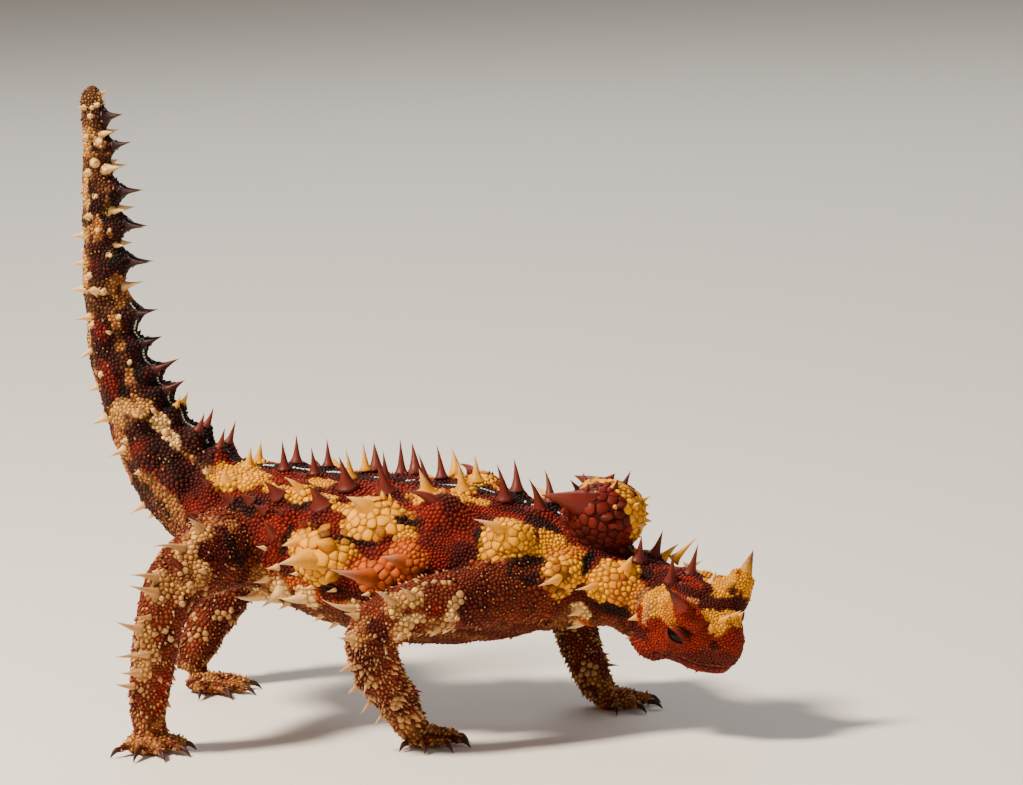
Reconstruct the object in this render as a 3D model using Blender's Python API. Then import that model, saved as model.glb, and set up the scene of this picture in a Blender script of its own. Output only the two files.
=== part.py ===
"""Thorny devil, as a still, life-size museum model of one adult lizard.

It walks with its head low and turned to its right, its knobbed nape raised and its tail held
straight up. +X runs from tail to head, +Y is the animal's left and +Z is up. Its soles stand on
Z = 0, and the origin is the bottom centre of its box. Sizes are written in millimetres times MM.
"""

import math
import random
from dataclasses import dataclass

import bmesh
import bpy
from mathutils import Matrix, Vector

MM = 0.001
GAP = 0.3 * MM
LEFT = Vector((0, 1, 0))
UP = Vector((0, 0, 1))

# Body line from skull base to tail tip, in mm: x, y, z, half width, half height.
BODY_STATIONS = (
    (28.6, -3.0, 21.4, 6.9, 6.2),
    (19.0, -0.8, 24.2, 8.2, 6.8),
    (12.0, 0.0, 26.4, 10.2, 8.2),
    (5.0, 0.0, 27.1, 13.4, 10.6),
    (-6.0, 0.0, 27.6, 17.0, 13.0),
    (-18.0, 0.0, 28.1, 18.6, 13.7),
    (-30.0, 0.0, 30.1, 17.6, 12.7),
    (-41.0, 0.0, 32.5, 14.6, 11.5),
    (-50.0, 0.0, 35.2, 11.2, 9.6),
    (-58.0, 0.0, 40.2, 8.6, 8.2),
    (-63.5, 0.0, 46.8, 7.2, 7.0),
    (-67.5, 0.0, 54.5, 5.7, 5.7),
    (-70.6, 0.0, 64.0, 4.6, 4.6),
    (-72.0, 0.0, 76.0, 3.8, 3.8),
    (-72.2, 0.0, 90.0, 3.0, 3.0),
    (-72.6, 0.0, 101.0, 2.3, 2.3),
    (-72.7, 0.0, 106.5, 1.8, 1.8),
    (-72.7, 0.0, 108.4, 0.9, 0.9),
)
# Where the body line is parted, counted in stations.
NECK_END = 2.35
TORSO_END = 8.7
TAIL_BASE_END = 11.2
TAIL_MIDDLE_END = 13.6
BODY_END = 17.0
BODY_NODES = (
    ("neck", 0.0, NECK_END),
    ("torso", NECK_END, TORSO_END),
    ("tail_base", TORSO_END, TAIL_BASE_END),
    ("tail_middle", TAIL_BASE_END, TAIL_MIDDLE_END),
    ("tail_tip", TAIL_MIDDLE_END, BODY_END),
)

# Legs from root to wrist or ankle, in mm: x, y, z, half width, half height.
FORE_RIGHT = (
    (7.0, -7.0, 26.0, 6.0, 6.4),
    (-2.0, -17.5, 25.6, 5.2, 5.4),
    (-11.0, -25.0, 24.6, 4.6, 4.7),
    (-16.2, -27.6, 21.0, 4.5, 4.5),
    (-16.6, -24.5, 14.0, 4.2, 4.3),
    (-14.8, -19.0, 6.6, 3.3, 3.4),
    (-13.6, -17.0, 2.6, 2.8, 2.8),
)
FORE_LEFT = (
    (7.0, 7.0, 26.0, 6.0, 6.4),
    (4.6, 15.5, 25.8, 5.2, 5.4),
    (1.6, 22.0, 23.4, 4.7, 4.7),
    (1.4, 23.2, 18.4, 4.4, 4.4),
    (3.6, 20.8, 11.4, 3.9, 3.9),
    (6.8, 18.2, 5.4, 3.2, 3.2),
    (8.4, 17.2, 2.6, 2.8, 2.8),
)
HIND_RIGHT = (
    (-46.0, -5.0, 31.6, 7.0, 7.2),
    (-48.4, -15.0, 31.2, 6.6, 6.8),
    (-50.4, -24.5, 29.4, 5.6, 5.6),
    (-51.8, -29.8, 25.2, 4.6, 4.6),
    (-53.6, -30.4, 18.0, 4.1, 4.1),
    (-55.8, -28.8, 9.0, 3.5, 3.5),
    (-56.6, -27.8, 3.2, 3.0, 3.0),
)
HIND_LEFT = (
    (-46.0, 5.0, 31.6, 7.0, 7.2),
    (-49.6, 14.6, 31.4, 6.6, 6.8),
    (-53.0, 23.4, 29.4, 5.7, 5.7),
    (-56.4, 27.8, 24.4, 4.9, 4.9),
    (-61.2, 25.6, 17.0, 4.4, 4.4),
    (-66.2, 21.6, 8.0, 3.5, 3.5),
    (-67.2, 20.4, 3.2, 2.9, 2.9),
)
LEG_JOINT = 3.0  # the elbow or knee ring, counted in stations
LEG_END = 5.35  # the wrist or ankle ring


@dataclass(frozen=True)
class Foot:
    """One foot: where its palm stands, the way its middle toe points, and its sizes in mm."""

    x: float
    y: float
    heading: float
    palm: float
    toe: float
    claw: float


FEET = {
    "fore_right": Foot(-11.6, -16.2, -38.0, 3.9, 4.3, 2.3),
    "fore_left": Foot(11.0, 16.8, 4.0, 3.9, 4.3, 2.3),
    "hind_right": Foot(-56.4, -28.0, -50.0, 4.2, 5.0, 2.5),
    "hind_left": Foot(-63.6, 19.2, -8.0, 4.2, 5.0, 2.5),
}
TOE_FAN = (-74.0, -36.0, -4.0, 28.0, 62.0)
TOE_SHARES = (0.82, 1.0, 1.06, 1.0, 0.8)

# The skull in its own frame, in mm: x forward, then y, z, half width, half height.
HEAD_STATIONS = (
    (0.0, 0.0, -0.2, 7.0, 6.4),
    (3.2, 0.0, -0.2, 7.8, 6.9),
    (7.0, 0.0, -0.6, 7.9, 7.0),
    (10.0, 0.0, -0.9, 7.3, 6.8),
    (12.8, 0.0, -1.5, 6.2, 6.2),
    (15.0, 0.0, -2.0, 4.7, 5.0),
    (16.4, 0.0, -2.4, 3.2, 3.6),
    (17.2, 0.0, -2.7, 1.5, 1.8),
)
HEAD_BASE = Vector((25.8, -1.9, 22.7)) * MM
HEAD_YAW, HEAD_PITCH, HEAD_ROLL = -27.0, 21.0, 7.0
EYE_PLACE = (9.8, 6.3, 0.6)
EYE_RADIUS = 1.85 * MM
MOUTH_HEIGHT = -4.3 * MM
MOUTH_CORNER = 1.9
NAPE_CENTRE = Vector((15.6, 0.0, 36.4)) * MM
NAPE_HALF = Vector((7.0, 7.6, 6.2)) * MM
NAPE_HULL = ((10.0, 0.0, 36.4, 4.0, 4.0), (15.6, 0.0, 36.4, 8.0, 6.8), (21.0, 0.0, 36.4, 4.0, 4.0))

PLAIN_LENGTH = 4.2 * MM  # a shorter thorn is a plain cone

SKIN_TONE = (0.50, 0.20, 0.07)
PALE_TONE = (0.78, 0.62, 0.36)
HORN_TONE = (0.74, 0.55, 0.24)
EYE_TONE = (0.02, 0.012, 0.01)


class Tube:
    """Oval rings along a smooth line through stations, each a centre and two half sizes."""

    def __init__(self, stations, left=LEFT):
        self.rows = [(Vector(row[:3]) * MM, row[3] * MM, row[4] * MM) for row in stations]
        self.left = left
        self.end = len(self.rows) - 1.0

    def blend(self, t):
        """Centre and half sizes at t, from the Catmull-Rom spline through the stations."""
        t = min(max(t, 0.0), self.end)
        i = min(int(t), len(self.rows) - 2)
        f = t - i
        p = [self.rows[min(max(k, 0), len(self.rows) - 1)] for k in (i - 1, i, i + 1, i + 2)]
        w = (
            0.5 * (-f + 2 * f * f - f**3),
            0.5 * (2 - 5 * f * f + 3 * f**3),
            0.5 * (f + 4 * f * f - 3 * f**3),
            0.5 * (f**3 - f * f),
        )
        centre = sum((p[k][0] * w[k] for k in range(4)), Vector())
        return centre, sum(p[k][1] * w[k] for k in range(4)), sum(p[k][2] * w[k] for k in range(4))

    def frame(self, t):
        """Tangent, left side and outer side of the ring at t."""
        step = 0.02
        tangent = (self.blend(t + step)[0] - self.blend(t - step)[0]).normalized()
        outer = self.left.cross(tangent).normalized()
        return tangent, tangent.cross(outer), outer

    def surface(self, t, degrees, grow=0.0):
        """The point at an angle from the outer side towards the left side."""
        centre, half_width, half_height = self.blend(t)
        tangent, left, outer = self.frame(t)
        angle = math.radians(degrees)
        across = left * math.sin(angle) * (half_width + grow)
        return centre + across + outer * math.cos(angle) * (half_height + grow)

    def normal(self, t, degrees):
        """The outward normal of the surface at t and an angle."""
        across = self.surface(t, degrees + 2) - self.surface(t, degrees - 2)
        along = self.surface(t + 0.03, degrees) - self.surface(t - 0.03, degrees)
        normal = across.cross(along).normalized()
        return normal if normal.dot(self.surface(t, degrees) - self.blend(t)[0]) > 0 else -normal

    def walk(self, start, end, step):
        """Values of t from start to end, a given distance apart along the line."""
        fine = 0.02
        t, gone, last = start, 0.0, self.blend(start)[0]
        yield t
        while t < end:
            t += fine
            here = self.blend(t)[0]
            gone += (here - last).length
            last = here
            if gone >= step:
                gone -= step
                yield t

    def rings(self, start, end):
        """Close rings of a stretch, each a centre, three directions and two half sizes."""
        count = max(2, int((end - start) * 12))
        for k in range(count + 1):
            t = start + (end - start) * k / count
            centre, half_width, half_height = self.blend(t)
            yield (centre, *self.frame(t), half_width, half_height)


def object_of(name, bm):
    """A new object holding this closed bmesh, with its faces turned outwards."""
    bmesh.ops.recalc_face_normals(bm, faces=bm.faces)
    mesh = bpy.data.meshes.new(name)
    bm.to_mesh(mesh)
    bm.free()
    obj = bpy.data.objects.new(name, mesh)
    bpy.context.scene.collection.objects.link(obj)
    return obj


def loft(name, tube, start, end, rings, sides, grow=0.0, gap=0.0):
    """A stretch of a tube as one closed object with flat ends, the first moved on by a gap."""
    bm = bmesh.new()
    grid = bmesh.ops.create_grid(bm, x_segments=rings, y_segments=sides, size=1.0)["verts"]
    for vert in grid:
        t = start + (end - start) * (vert.co.x + 1) / 2
        moved = tube.frame(t)[0] * gap if vert.co.x < -0.999 else Vector()
        vert.co = tube.surface(t, 180 * vert.co.y, grow) + moved
    bmesh.ops.remove_doubles(bm, verts=bm.verts, dist=1e-7)
    bmesh.ops.holes_fill(bm, edges=[e for e in bm.edges if e.is_boundary], sides=0)
    return object_of(name, bm)


def ball(name, matrix, segments=16, rings=10):
    """A sphere of radius 1 m, placed and scaled by a matrix."""
    bm = bmesh.new()
    bmesh.ops.create_uvsphere(bm, u_segments=segments, v_segments=rings, radius=1.0, matrix=matrix)
    return object_of(name, bm)


def block(name, matrix, reach, half):
    """A box in the frame of a matrix, between two values of x and a half size across."""
    bm = bmesh.new()
    bmesh.ops.create_cube(bm, size=2.0)
    for vert in bm.verts:
        vert.co = matrix @ Vector((reach[vert.co.x > 0], vert.co.y * half, vert.co.z * half))
    return object_of(name, bm)


def scaled_at(place, half_sizes, turn=None):
    """The matrix that takes a unit ball to these half sizes at a place."""
    scale = Matrix.Diagonal((*half_sizes, 1.0))
    return Matrix.Translation(place) @ (turn or Matrix.Identity(4)) @ scale


def use_evaluated(obj):
    """Applies an object's modifiers to its mesh."""
    graph = bpy.context.evaluated_depsgraph_get()
    mesh = bpy.data.meshes.new_from_object(obj.evaluated_get(graph))
    obj.modifiers.clear()
    obj.data = mesh


def keep_largest(obj):
    """Drops every closed surface of a mesh but the largest."""
    bm = bmesh.new()
    bm.from_mesh(obj.data)
    left, islands = set(bm.verts), []
    while left:
        island, front = set(), [left.pop()]
        while front:
            vert = front.pop()
            island.add(vert)
            for edge in vert.link_edges:
                other = edge.other_vert(vert)
                if other in left:
                    left.remove(other)
                    front.append(other)
        islands.append(island)
    islands.sort(key=lambda found: max(v.co.length for v in found) * len(found))
    for island in islands[:-1]:
        bmesh.ops.delete(bm, geom=list(island), context="VERTS")
    bm.to_mesh(obj.data)
    bm.free()


def boolean(obj, pieces, operation, solver="MANIFOLD"):
    """Joins the pieces to an object or cuts them from it, in one Boolean on a collection."""
    group = bpy.data.collections.new("pieces")
    for piece in pieces:
        group.objects.link(piece)
    modifier = obj.modifiers.new(operation, "BOOLEAN")
    modifier.operation = operation
    modifier.operand_type = "COLLECTION"
    modifier.collection = group
    modifier.solver = solver
    use_evaluated(obj)
    for piece in pieces:
        bpy.data.objects.remove(piece)
    bpy.data.collections.remove(group)
    keep_largest(obj)
    return obj


def paint(obj, name, tone, roughness):
    """Gives an object its material, which objects of one finish share."""
    material = bpy.data.materials.get(name)
    if material is None:
        material = bpy.data.materials.new(name)
        material.use_nodes = True
        shader = material.node_tree.nodes["Principled BSDF"]
        shader.inputs["Base Color"].default_value = (*tone, 1.0)
        shader.inputs["Roughness"].default_value = roughness
    obj.data.materials.clear()
    obj.data.materials.append(material)
    obj.data.shade_smooth()
    obj.data.set_sharp_from_angle(angle=math.radians(40))


@dataclass(frozen=True)
class Row:
    """One row of thorns along a tube, on one side. Sizes are in mm and angles in degrees."""

    angle: float
    start: float
    end: float
    step: float
    length: float
    radius: float
    back: float
    sides: int = 5
    spread: float = 5.0
    rise: float = 0.0


def reaches(rings, point, margin):
    """Whether a point lies within a margin of the solid that a list of rings describes."""
    centre, tangent, left, outer, half_width, half_height = min(
        rings, key=lambda ring: (ring[0] - point).length_squared
    )
    away = point - centre
    if abs(away.dot(tangent)) > margin + 0.4 * MM:
        return False
    across = away.dot(left) / (half_width + margin)
    up = away.dot(outer) / (half_height + margin)
    return across**2 + up**2 < 1


class Thorns:
    """Places thorns on tubes so that each stays clear of every other node and its thorns."""

    def __init__(self):
        self.draw = random.Random(7)
        self.solids = {}
        self.taken = []

    def claim(self, name, tube, start, end):
        """Marks a stretch of a tube as the solid of a node."""
        self.solids[name] = list(tube.rings(start, end))

    def clear(self, owner, points):
        """Whether a thorn's points keep clear of the other nodes and of their thorns."""
        if any(point.z < share * 0.5 + GAP for point, share in points):
            return False
        for name, rings in self.solids.items():
            if name == owner:
                continue
            if any(reaches(rings, point, 2 * GAP + share) for point, share in points):
                return False
        for other, place, reach in self.taken:
            if other == owner:
                continue
            if any((place - point).length < reach + share + GAP for point, share in points):
                return False
        return True

    def to_tip(self, owner, root, normal, reach, radius, sides=5, depth=0.75):
        """One thorn from a point on the skin to a tip, smaller or None where it has no room."""
        for share in (1.0, 0.8, 0.6, 0.45):
            length = reach.length * share
            way = (normal * 0.7 + reach.normalized()).normalized()
            tip = root + reach * share
            waist = root + way * 0.42 * length
            points = [(root + way * radius * 0.5, radius), (waist, radius * 0.5)]
            points += [((waist + tip) / 2, radius * 0.25), (tip, 0.1 * MM)]
            if self.clear(owner, points):
                break
        else:
            return None
        self.taken += [(owner, point, reach_there) for point, reach_there in points]
        sunk = root - way * depth * radius
        rows = [(*(sunk / MM), radius / MM, radius / MM), (*(tip / MM), 0.0, 0.0)]
        if length > PLAIN_LENGTH:
            rows.insert(1, (*(waist / MM), 0.42 * radius / MM, 0.42 * radius / MM))
        side = way.orthogonal().normalized()
        return loft("thorn", Tube(rows, side), 0.0, len(rows) - 1.0, len(rows), sides)

    def add(self, owner, root, normal, lean, length, radius, sides=5):
        """One thorn of a given length, bent from the normal towards lean."""
        way = (normal + lean).normalized()
        bent = way * 0.42 + (way + lean * 0.35).normalized() * 0.58
        return self.to_tip(owner, root, way, bent * length, radius, sides)

    def table(self, owner, tube, rows, stretch, side=0, share=1.0):
        """The thorns of a table that stand on a stretch of a tube, on both sides or on one."""
        made = []
        for t, angle, back, left, out, radius in rows:
            reach = radius * MM * 0.9
            near_end = min((tube.blend(t)[0] - tube.blend(end)[0]).length for end in stretch)
            if not stretch[0] < t < stretch[1] or near_end < reach:
                continue
            for way in (side,) if side else (1, -1):
                tangent, across, outer = tube.frame(t)
                tip = (tangent * back + across * left * way + outer * out) * MM * share
                root, normal = tube.surface(t, angle * way), tube.normal(t, angle * way)
                sides = 6 if radius > 2.3 else 5 if radius > 1.35 else 4
                made.append(self.to_tip(owner, root, normal, tip, radius * MM * share, sides))
        return [thorn for thorn in made if thorn]

    def row(self, owner, tube, row):
        """Every thorn of one row, varied as the real ones are."""
        made = []
        for number, t in enumerate(tube.walk(row.start, row.end, row.step * MM)):
            if t > tube.end:
                break
            angle = row.angle + self.draw.uniform(-row.spread, row.spread)
            size = self.draw.uniform(0.82, 1.12) * (1.0 if number % 2 else 0.9)
            root = tube.surface(t, angle)
            lean = tube.frame(t)[0] * row.back + UP * row.rise
            length, radius = row.length * size * MM, row.radius * size * MM
            made.append(self.add(owner, root, tube.normal(t, angle), lean, length, radius, row.sides))
        return [thorn for thorn in made if thorn]

    def rows(self, owner, tube, rows):
        """The thorns of several rows."""
        return [thorn for row in rows for thorn in self.row(owner, tube, row)]


def both_sides(rows):
    """Each row, and the same row on the other side."""
    mirrored = []
    for row in rows:
        other = {**row.__dict__, "angle": -row.angle}
        mirrored += [row, Row(**other)]
    return mirrored


# Thorns read from the photo: station, angle in degrees, then the tip's way from the root in mm,
# along the body, to the left and out, and the root's radius in mm. Each has its like on the left.
TRUNK_THORNS = (
    (8.88, -12, 1.6, -0.6, 5.5, 1.7),
    (8.04, -12, 1.1, -0.2, 4.4, 1.2),
    (7.14, -12, 1.2, -0.6, 5.3, 1.2),
    (6.60, -12, 1.3, -0.7, 5.2, 1.1),
    (6.00, -12, 1.6, -0.7, 5.8, 1.1),
    (5.46, -12, 1.2, -0.7, 6.5, 1.2),
    (4.74, -12, 1.3, -1.0, 6.4, 1.2),
    (4.20, -12, 0.5, -0.8, 5.3, 1.5),
    (3.60, -12, 0.9, -1.3, 6.5, 1.5),
    (3.06, -12, 1.6, -1.7, 6.1, 1.5),
    (10.50, -12, 1.6, -0.4, 2.8, 1.4),
    (9.72, -12, 2.0, -0.4, 4.3, 1.8),
    (5.94, -24, 1.7, -1.6, 5.3, 1.8),
    (5.34, -24, 1.9, -1.8, 5.8, 1.8),
    (4.62, -24, 1.1, -1.5, 5.3, 2.1),
    (8.16, -44, 1.5, -1.4, 1.8, 1.7),
    (6.96, -44, 2.3, -1.9, 1.2, 1.7),
    (6.60, -36, 2.6, -1.8, 2.2, 1.5),
    (6.18, -44, 2.1, -2.0, 3.6, 2.1),
    (5.40, -44, 3.6, -3.2, 2.8, 3.0),
    (4.38, -36, 4.1, -3.2, 2.2, 3.0),
    (3.36, -52, 4.1, -4.8, 3.9, 2.8),
    (6.72, -76, 2.0, -2.1, 3.1, 1.9),
    (6.24, -76, 2.4, -3.5, -0.3, 1.9),
    (6.00, -84, 4.5, -6.5, -0.9, 3.3),
    (5.10, -88, 5.1, -6.8, 1.8, 2.5),
    (4.68, -76, 2.6, -3.9, 1.6, 2.5),
    (2.16, -80, 2.5, -4.9, -1.5, 2.4),
    (6.84, -88, 1.2, -1.5, 0.2, 0.7),
    (6.78, -116, 1.2, -1.3, -0.5, 0.8),
    (6.84, -140, 3.5, -2.3, -0.6, 1.4),
    (6.54, -124, 1.3, -2.8, -2.0, 1.1),
    (6.12, -120, 2.5, -2.0, -0.2, 1.4),
    (5.34, -116, 3.9, -3.3, 1.3, 1.1),
    (1.20, -80, 2.2, -4.5, -1.0, 1.8),
    (0.90, -48, 0.4, -0.9, 2.0, 1.5),
    (0.78, -40, 0.6, -0.8, 1.5, 0.9),
    (1.56, -124, 1.1, -1.8, -1.2, 1.2),
    (1.56, -160, 2.2, -1.5, -1.7, 1.5),
    (0.78, 20, 0.1, 1.2, 4.9, 1.3),
)
TAIL_THORNS = (
    (12.84, -8, 0.5, -0.3, 3.1, 0.9),
    (11.76, -16, 0.7, -0.4, 2.6, 1.1),
    (11.22, -20, 0.2, -0.6, 3.6, 1.4),
    (12.30, -8, -0.1, -0.1, 1.6, 1.0),
    (10.68, -72, 0.8, -1.1, -0.3, 1.5),
    (12.84, -96, 0.3, -1.4, -0.7, 1.3),
    (12.24, -76, 0.4, -0.6, -0.1, 0.9),
    (12.48, 16, -0.3, 1.2, 4.4, 1.4),
    (12.06, 16, 0.3, 0.9, 3.1, 1.3),
    (11.46, 8, 0.5, 0.6, 4.7, 1.5),
    (10.92, 8, 0.3, 0.5, 3.9, 1.5),
    (12.84, -140, 0.4, -0.8, -1.0, 0.8),
    (12.48, -128, 0.1, -1.9, -1.6, 0.9),
    (12.00, -144, -0.9, -1.4, -1.7, 0.8),
    (11.46, -156, -0.3, -0.8, -1.7, 0.8),
    (10.92, -144, -0.2, -1.6, -2.2, 1.0),
    (10.26, -124, 0.2, -2.3, -2.1, 0.9),
    (9.30, -152, 0.3, -1.4, -2.7, 1.1),
    (9.12, -168, 0.4, -0.3, -1.5, 0.9),
)
FORE_THORNS = (
    (2.28, -20, 2.0, 0.4, 4.0, 1.5),
    (1.98, -36, 1.7, -0.4, 3.1, 1.5),
    (1.68, -124, 1.9, -1.2, -0.9, 1.4),
    (2.40, -80, 1.5, -1.3, 1.1, 1.4),
    (1.50, -108, 0.8, -1.2, 0.4, 1.1),
    (2.82, 40, 0.6, 1.6, 1.8, 1.0),
    (3.06, 28, -0.1, 2.2, 2.4, 1.2),
    (2.94, 24, -1.0, 0.4, 0.7, 0.7),
    (3.54, 40, -0.1, 1.7, 1.9, 1.1),
    (4.08, 56, 0.4, 1.6, 1.3, 1.0),
    (4.44, 48, 0.6, 1.7, 1.9, 0.8),
    (4.80, 44, 0.6, 1.6, 1.9, 0.6),
    (3.00, -48, 0.8, -0.8, 1.2, 0.5),
    (4.68, -108, 0.6, -1.3, 0.1, 0.7),
    (4.86, -60, 0.7, -1.7, 1.1, 0.6),
    (3.60, -64, 0.2, -1.5, 0.6, 0.5),
    (3.90, 12, 0.4, 0.1, 1.4, 0.7),
)
HIND_THORNS = (
    (2.04, -16, 4.0, 2.1, 2.8, 1.4),
    (1.56, -16, 1.5, 0.8, 2.5, 1.5),
    (2.40, -24, 0.9, 1.0, 3.4, 1.2),
    (2.70, -16, 2.1, 1.5, 3.2, 1.1),
    (2.94, -20, 1.0, 1.8, 4.2, 1.2),
    (3.54, 0, -1.0, 2.2, 3.3, 1.1),
    (3.30, -16, 0.2, 0.9, 2.0, 0.6),
    (4.08, 8, -0.0, 1.8, 2.8, 0.8),
    (4.32, -8, -0.2, 1.5, 2.4, 1.1),
    (4.62, 8, -0.6, 1.6, 1.9, 0.9),
    (2.16, -64, 1.2, -0.7, 1.2, 1.4),
    (2.58, -56, 1.4, -0.6, 1.5, 1.4),
    (2.94, -56, 0.4, -0.5, 1.5, 1.1),
    (3.60, -48, -0.5, -0.1, 1.5, 1.1),
    (3.96, -24, -0.1, 1.1, 2.5, 1.2),
)
TRUNK_ROWS = both_sides(
    (
        Row(98, 7.1, 8.5, 4.6, 2.8, 1.2, 0.9, 4),
        Row(125, 2.6, 5.2, 5.6, 2.2, 1.1, 0.8, 4),
        Row(140, 5.6, 8.4, 7.5, 1.9, 1.0, 0.8, 4),
    )
)
TAIL_ROWS = both_sides(
    (
        Row(13, 13.1, 14.5, 5.4, 3.8, 1.2, 0.1, 4, spread=3),
        Row(14, 14.6, 16.2, 4.6, 2.8, 0.9, 0.1, 4, spread=3),
        Row(76, 13.2, 16.0, 6.0, 1.5, 0.9, 0.1, 4),
        Row(146, 13.0, 15.9, 5.6, 1.8, 0.8, -0.1, 4),
        Row(95, 9.2, 10.2, 5.0, 2.0, 1.1, 0.3, 4),
    )
)
LEG_ROWS = (
    Row(120, 1.4, 5.0, 7.0, 2.0, 0.9, 0.30, 4),
    Row(-120, 1.4, 5.0, 7.0, 1.8, 0.9, 0.30, 4),
)


def within(rows, start, end):
    """The rows cut to a stretch of the tube, kept a little inside its ends."""
    margin = 0.12
    cut = []
    for row in rows:
        first, last = max(row.start, start + margin), min(row.end, end - margin)
        if first < last:
            cut.append(Row(**{**row.__dict__, "start": first, "end": last}))
    return cut


def head_matrix():
    """The turn and place of the skull's own frame."""
    turn = Matrix.Rotation(math.radians(HEAD_YAW), 4, "Z")
    turn @= Matrix.Rotation(math.radians(HEAD_PITCH), 4, "Y")
    turn @= Matrix.Rotation(math.radians(HEAD_ROLL), 4, "X")
    return Matrix.Translation(HEAD_BASE) @ turn


def head_point(x, y, z):
    """A place in the skull's frame, in mm, as a point of the model."""
    return head_matrix() @ (Vector((x, y, z)) * MM)


def head_way(x, y, z):
    """A direction in the skull's frame as a direction of the model."""
    return (head_matrix().to_3x3() @ Vector((x, y, z))).normalized()


def head_tube():
    """The skull's tube, from its base to its snout."""
    rows = []
    for x, y, z, half_width, half_height in HEAD_STATIONS:
        rows.append((*(head_point(x, y, z) / MM), half_width, half_height))
    return Tube(rows, -head_way(0, 1, 0))


def mouth_line(skull):
    """A thin cord along the line of the mouth, from corner to corner round the snout."""
    points = []
    last = 6.9
    for k in range(13):
        t = MOUTH_CORNER + (last - MOUTH_CORNER) * k / 12
        centre, half_width, half_height = skull.blend(t)
        drop = head_way(0, 0, 1).dot(centre - head_point(0, 0, 0)) - MOUTH_HEIGHT
        share = max(-0.96, min(0.96, -drop / half_height))
        points.append(skull.surface(t, math.degrees(math.acos(share)), -0.05 * MM))
    mirror = [skull_mirror(point) for point in reversed(points)]
    curve = bpy.data.curves.new("mouth", "CURVE")
    curve.dimensions = "3D"
    curve.bevel_depth = 0.34 * MM
    curve.bevel_resolution = 1
    curve.use_fill_caps = True
    spline = curve.splines.new("POLY")
    spline.points.add(len(points + mirror) - 1)
    for target, point in zip(spline.points, points + mirror):
        target.co = (*point, 1.0)
    cord = bpy.data.objects.new("mouth", curve)
    bpy.context.scene.collection.objects.link(cord)
    graph = bpy.context.evaluated_depsgraph_get()
    bm = bmesh.new()
    bm.from_mesh(bpy.data.meshes.new_from_object(cord.evaluated_get(graph)))
    bmesh.ops.remove_doubles(bm, verts=bm.verts, dist=1e-6)
    bpy.data.objects.remove(cord)
    return object_of("mouth_cut", bm)


def skull_mirror(point):
    """The point on the other side of the skull's middle plane."""
    inside = head_matrix().inverted() @ point
    inside.y = -inside.y
    return head_matrix() @ inside


def horn_tube(side):
    """A brow horn: its scaly stump and the smooth horn above it, as one tube."""
    root, middle, tip = (9.8, 4.9, 3.6), (10.2, 6.6, 6.6), (8.9, 10.0, 11.4)
    rows = []
    for (x, y, z), half in zip((root, middle, (9.9, 7.9, 8.6), tip), (3.3, 2.3, 1.5, 0.0)):
        rows.append((*(head_point(x, side * y, z) / MM), half, half))
    return Tube(rows, head_way(1, 0, 0))


HORN_SPLIT = 1.05


def head_thorns(thorns, skull):
    """The thorns of the head, given by name and place in the skull's frame, in mm."""
    placed = (
        ("occiput", (2.9, 2.3, 6.2), (0.0, 0.12, 1.0), 5.4, 1.1),
        ("temple", (5.0, 6.0, 3.6), (-0.3, 0.42, 0.85), 5.4, 1.9),
        ("cheek", (2.2, 7.3, 0.4), (-0.25, 1.0, -0.15), 2.6, 1.1),
        ("brow_back", (6.0, 3.0, 5.6), (-0.2, 0.1, 1.0), 2.3, 0.8),
        ("snout", (14.0, 2.9, 2.6), (0.35, 0.55, 0.8), 2.8, 1.2),
        ("snout_side", (12.4, 4.6, 2.7), (-0.1, 0.8, 0.7), 1.9, 1.1),
        ("jaw_back", (1.6, 6.2, -4.2), (-0.6, 0.7, -0.3), 2.6, 1.2),
    )
    made = []
    for name, place, way, length, radius in placed:
        for side in (-1, 1):
            root = head_point(place[0], side * place[1], place[2])
            normal = head_way(way[0], side * way[1], way[2])
            thorn = thorns.add("head", root, normal, Vector(), length * MM, radius * MM)
            if thorn:
                made.append(thorn)
    return made


def brow(side):
    """The raised brow over one eye, an oval mass under the horn."""
    place = head_point(8.6, side * 5.0, 3.9)
    turn = head_matrix().to_3x3().to_4x4()
    return ball("brow", scaled_at(place, (4.4 * MM, 2.6 * MM, 2.3 * MM), turn), 12, 8)


def lid(side):
    """The ring of both lids round one eye."""
    bm = bmesh.new()
    way = head_way(0.12, side, 0.10)
    place = head_point(EYE_PLACE[0], side * EYE_PLACE[1], EYE_PLACE[2]) + way * 0.95 * MM
    turn = way.to_track_quat("Z", "Y").to_matrix().to_4x4()
    ring, thick = 1.95 * MM, 0.62 * MM
    bmesh.ops.create_circle(bm, segments=6, radius=thick)
    start = Matrix.Translation((ring, 0, 0)) @ Matrix.Rotation(math.radians(90), 4, "X")
    bmesh.ops.transform(bm, matrix=start, verts=bm.verts)
    bmesh.ops.spin(
        bm,
        geom=bm.verts[:] + bm.edges[:],
        cent=(0, 0, 0),
        axis=(0, 0, 1),
        angle=math.tau,
        steps=14,
        use_merge=True,
    )
    bmesh.ops.remove_doubles(bm, verts=bm.verts, dist=1e-7)
    squash = Matrix.Diagonal((1.12, 0.86, 1.0, 1.0))
    bmesh.ops.transform(bm, matrix=Matrix.Translation(place) @ turn @ squash, verts=bm.verts)
    return object_of("lid", bm)


def eye(side, name, grow=0.0):
    """One eyeball, or with grow the socket that holds it."""
    place = head_point(EYE_PLACE[0], side * EYE_PLACE[1], EYE_PLACE[2])
    radius = EYE_RADIUS + grow
    return ball(name, scaled_at(place, (radius, radius, radius)), 14, 10)


def pit(x, y, z, radius, deep, way):
    """A small oval pit, such as a nostril or an ear."""
    turn = head_way(*way).to_track_quat("Z", "Y").to_matrix().to_4x4()
    return ball("pit", scaled_at(head_point(x, y, z), (radius * MM, radius * MM, deep * MM), turn), 8, 6)


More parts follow.
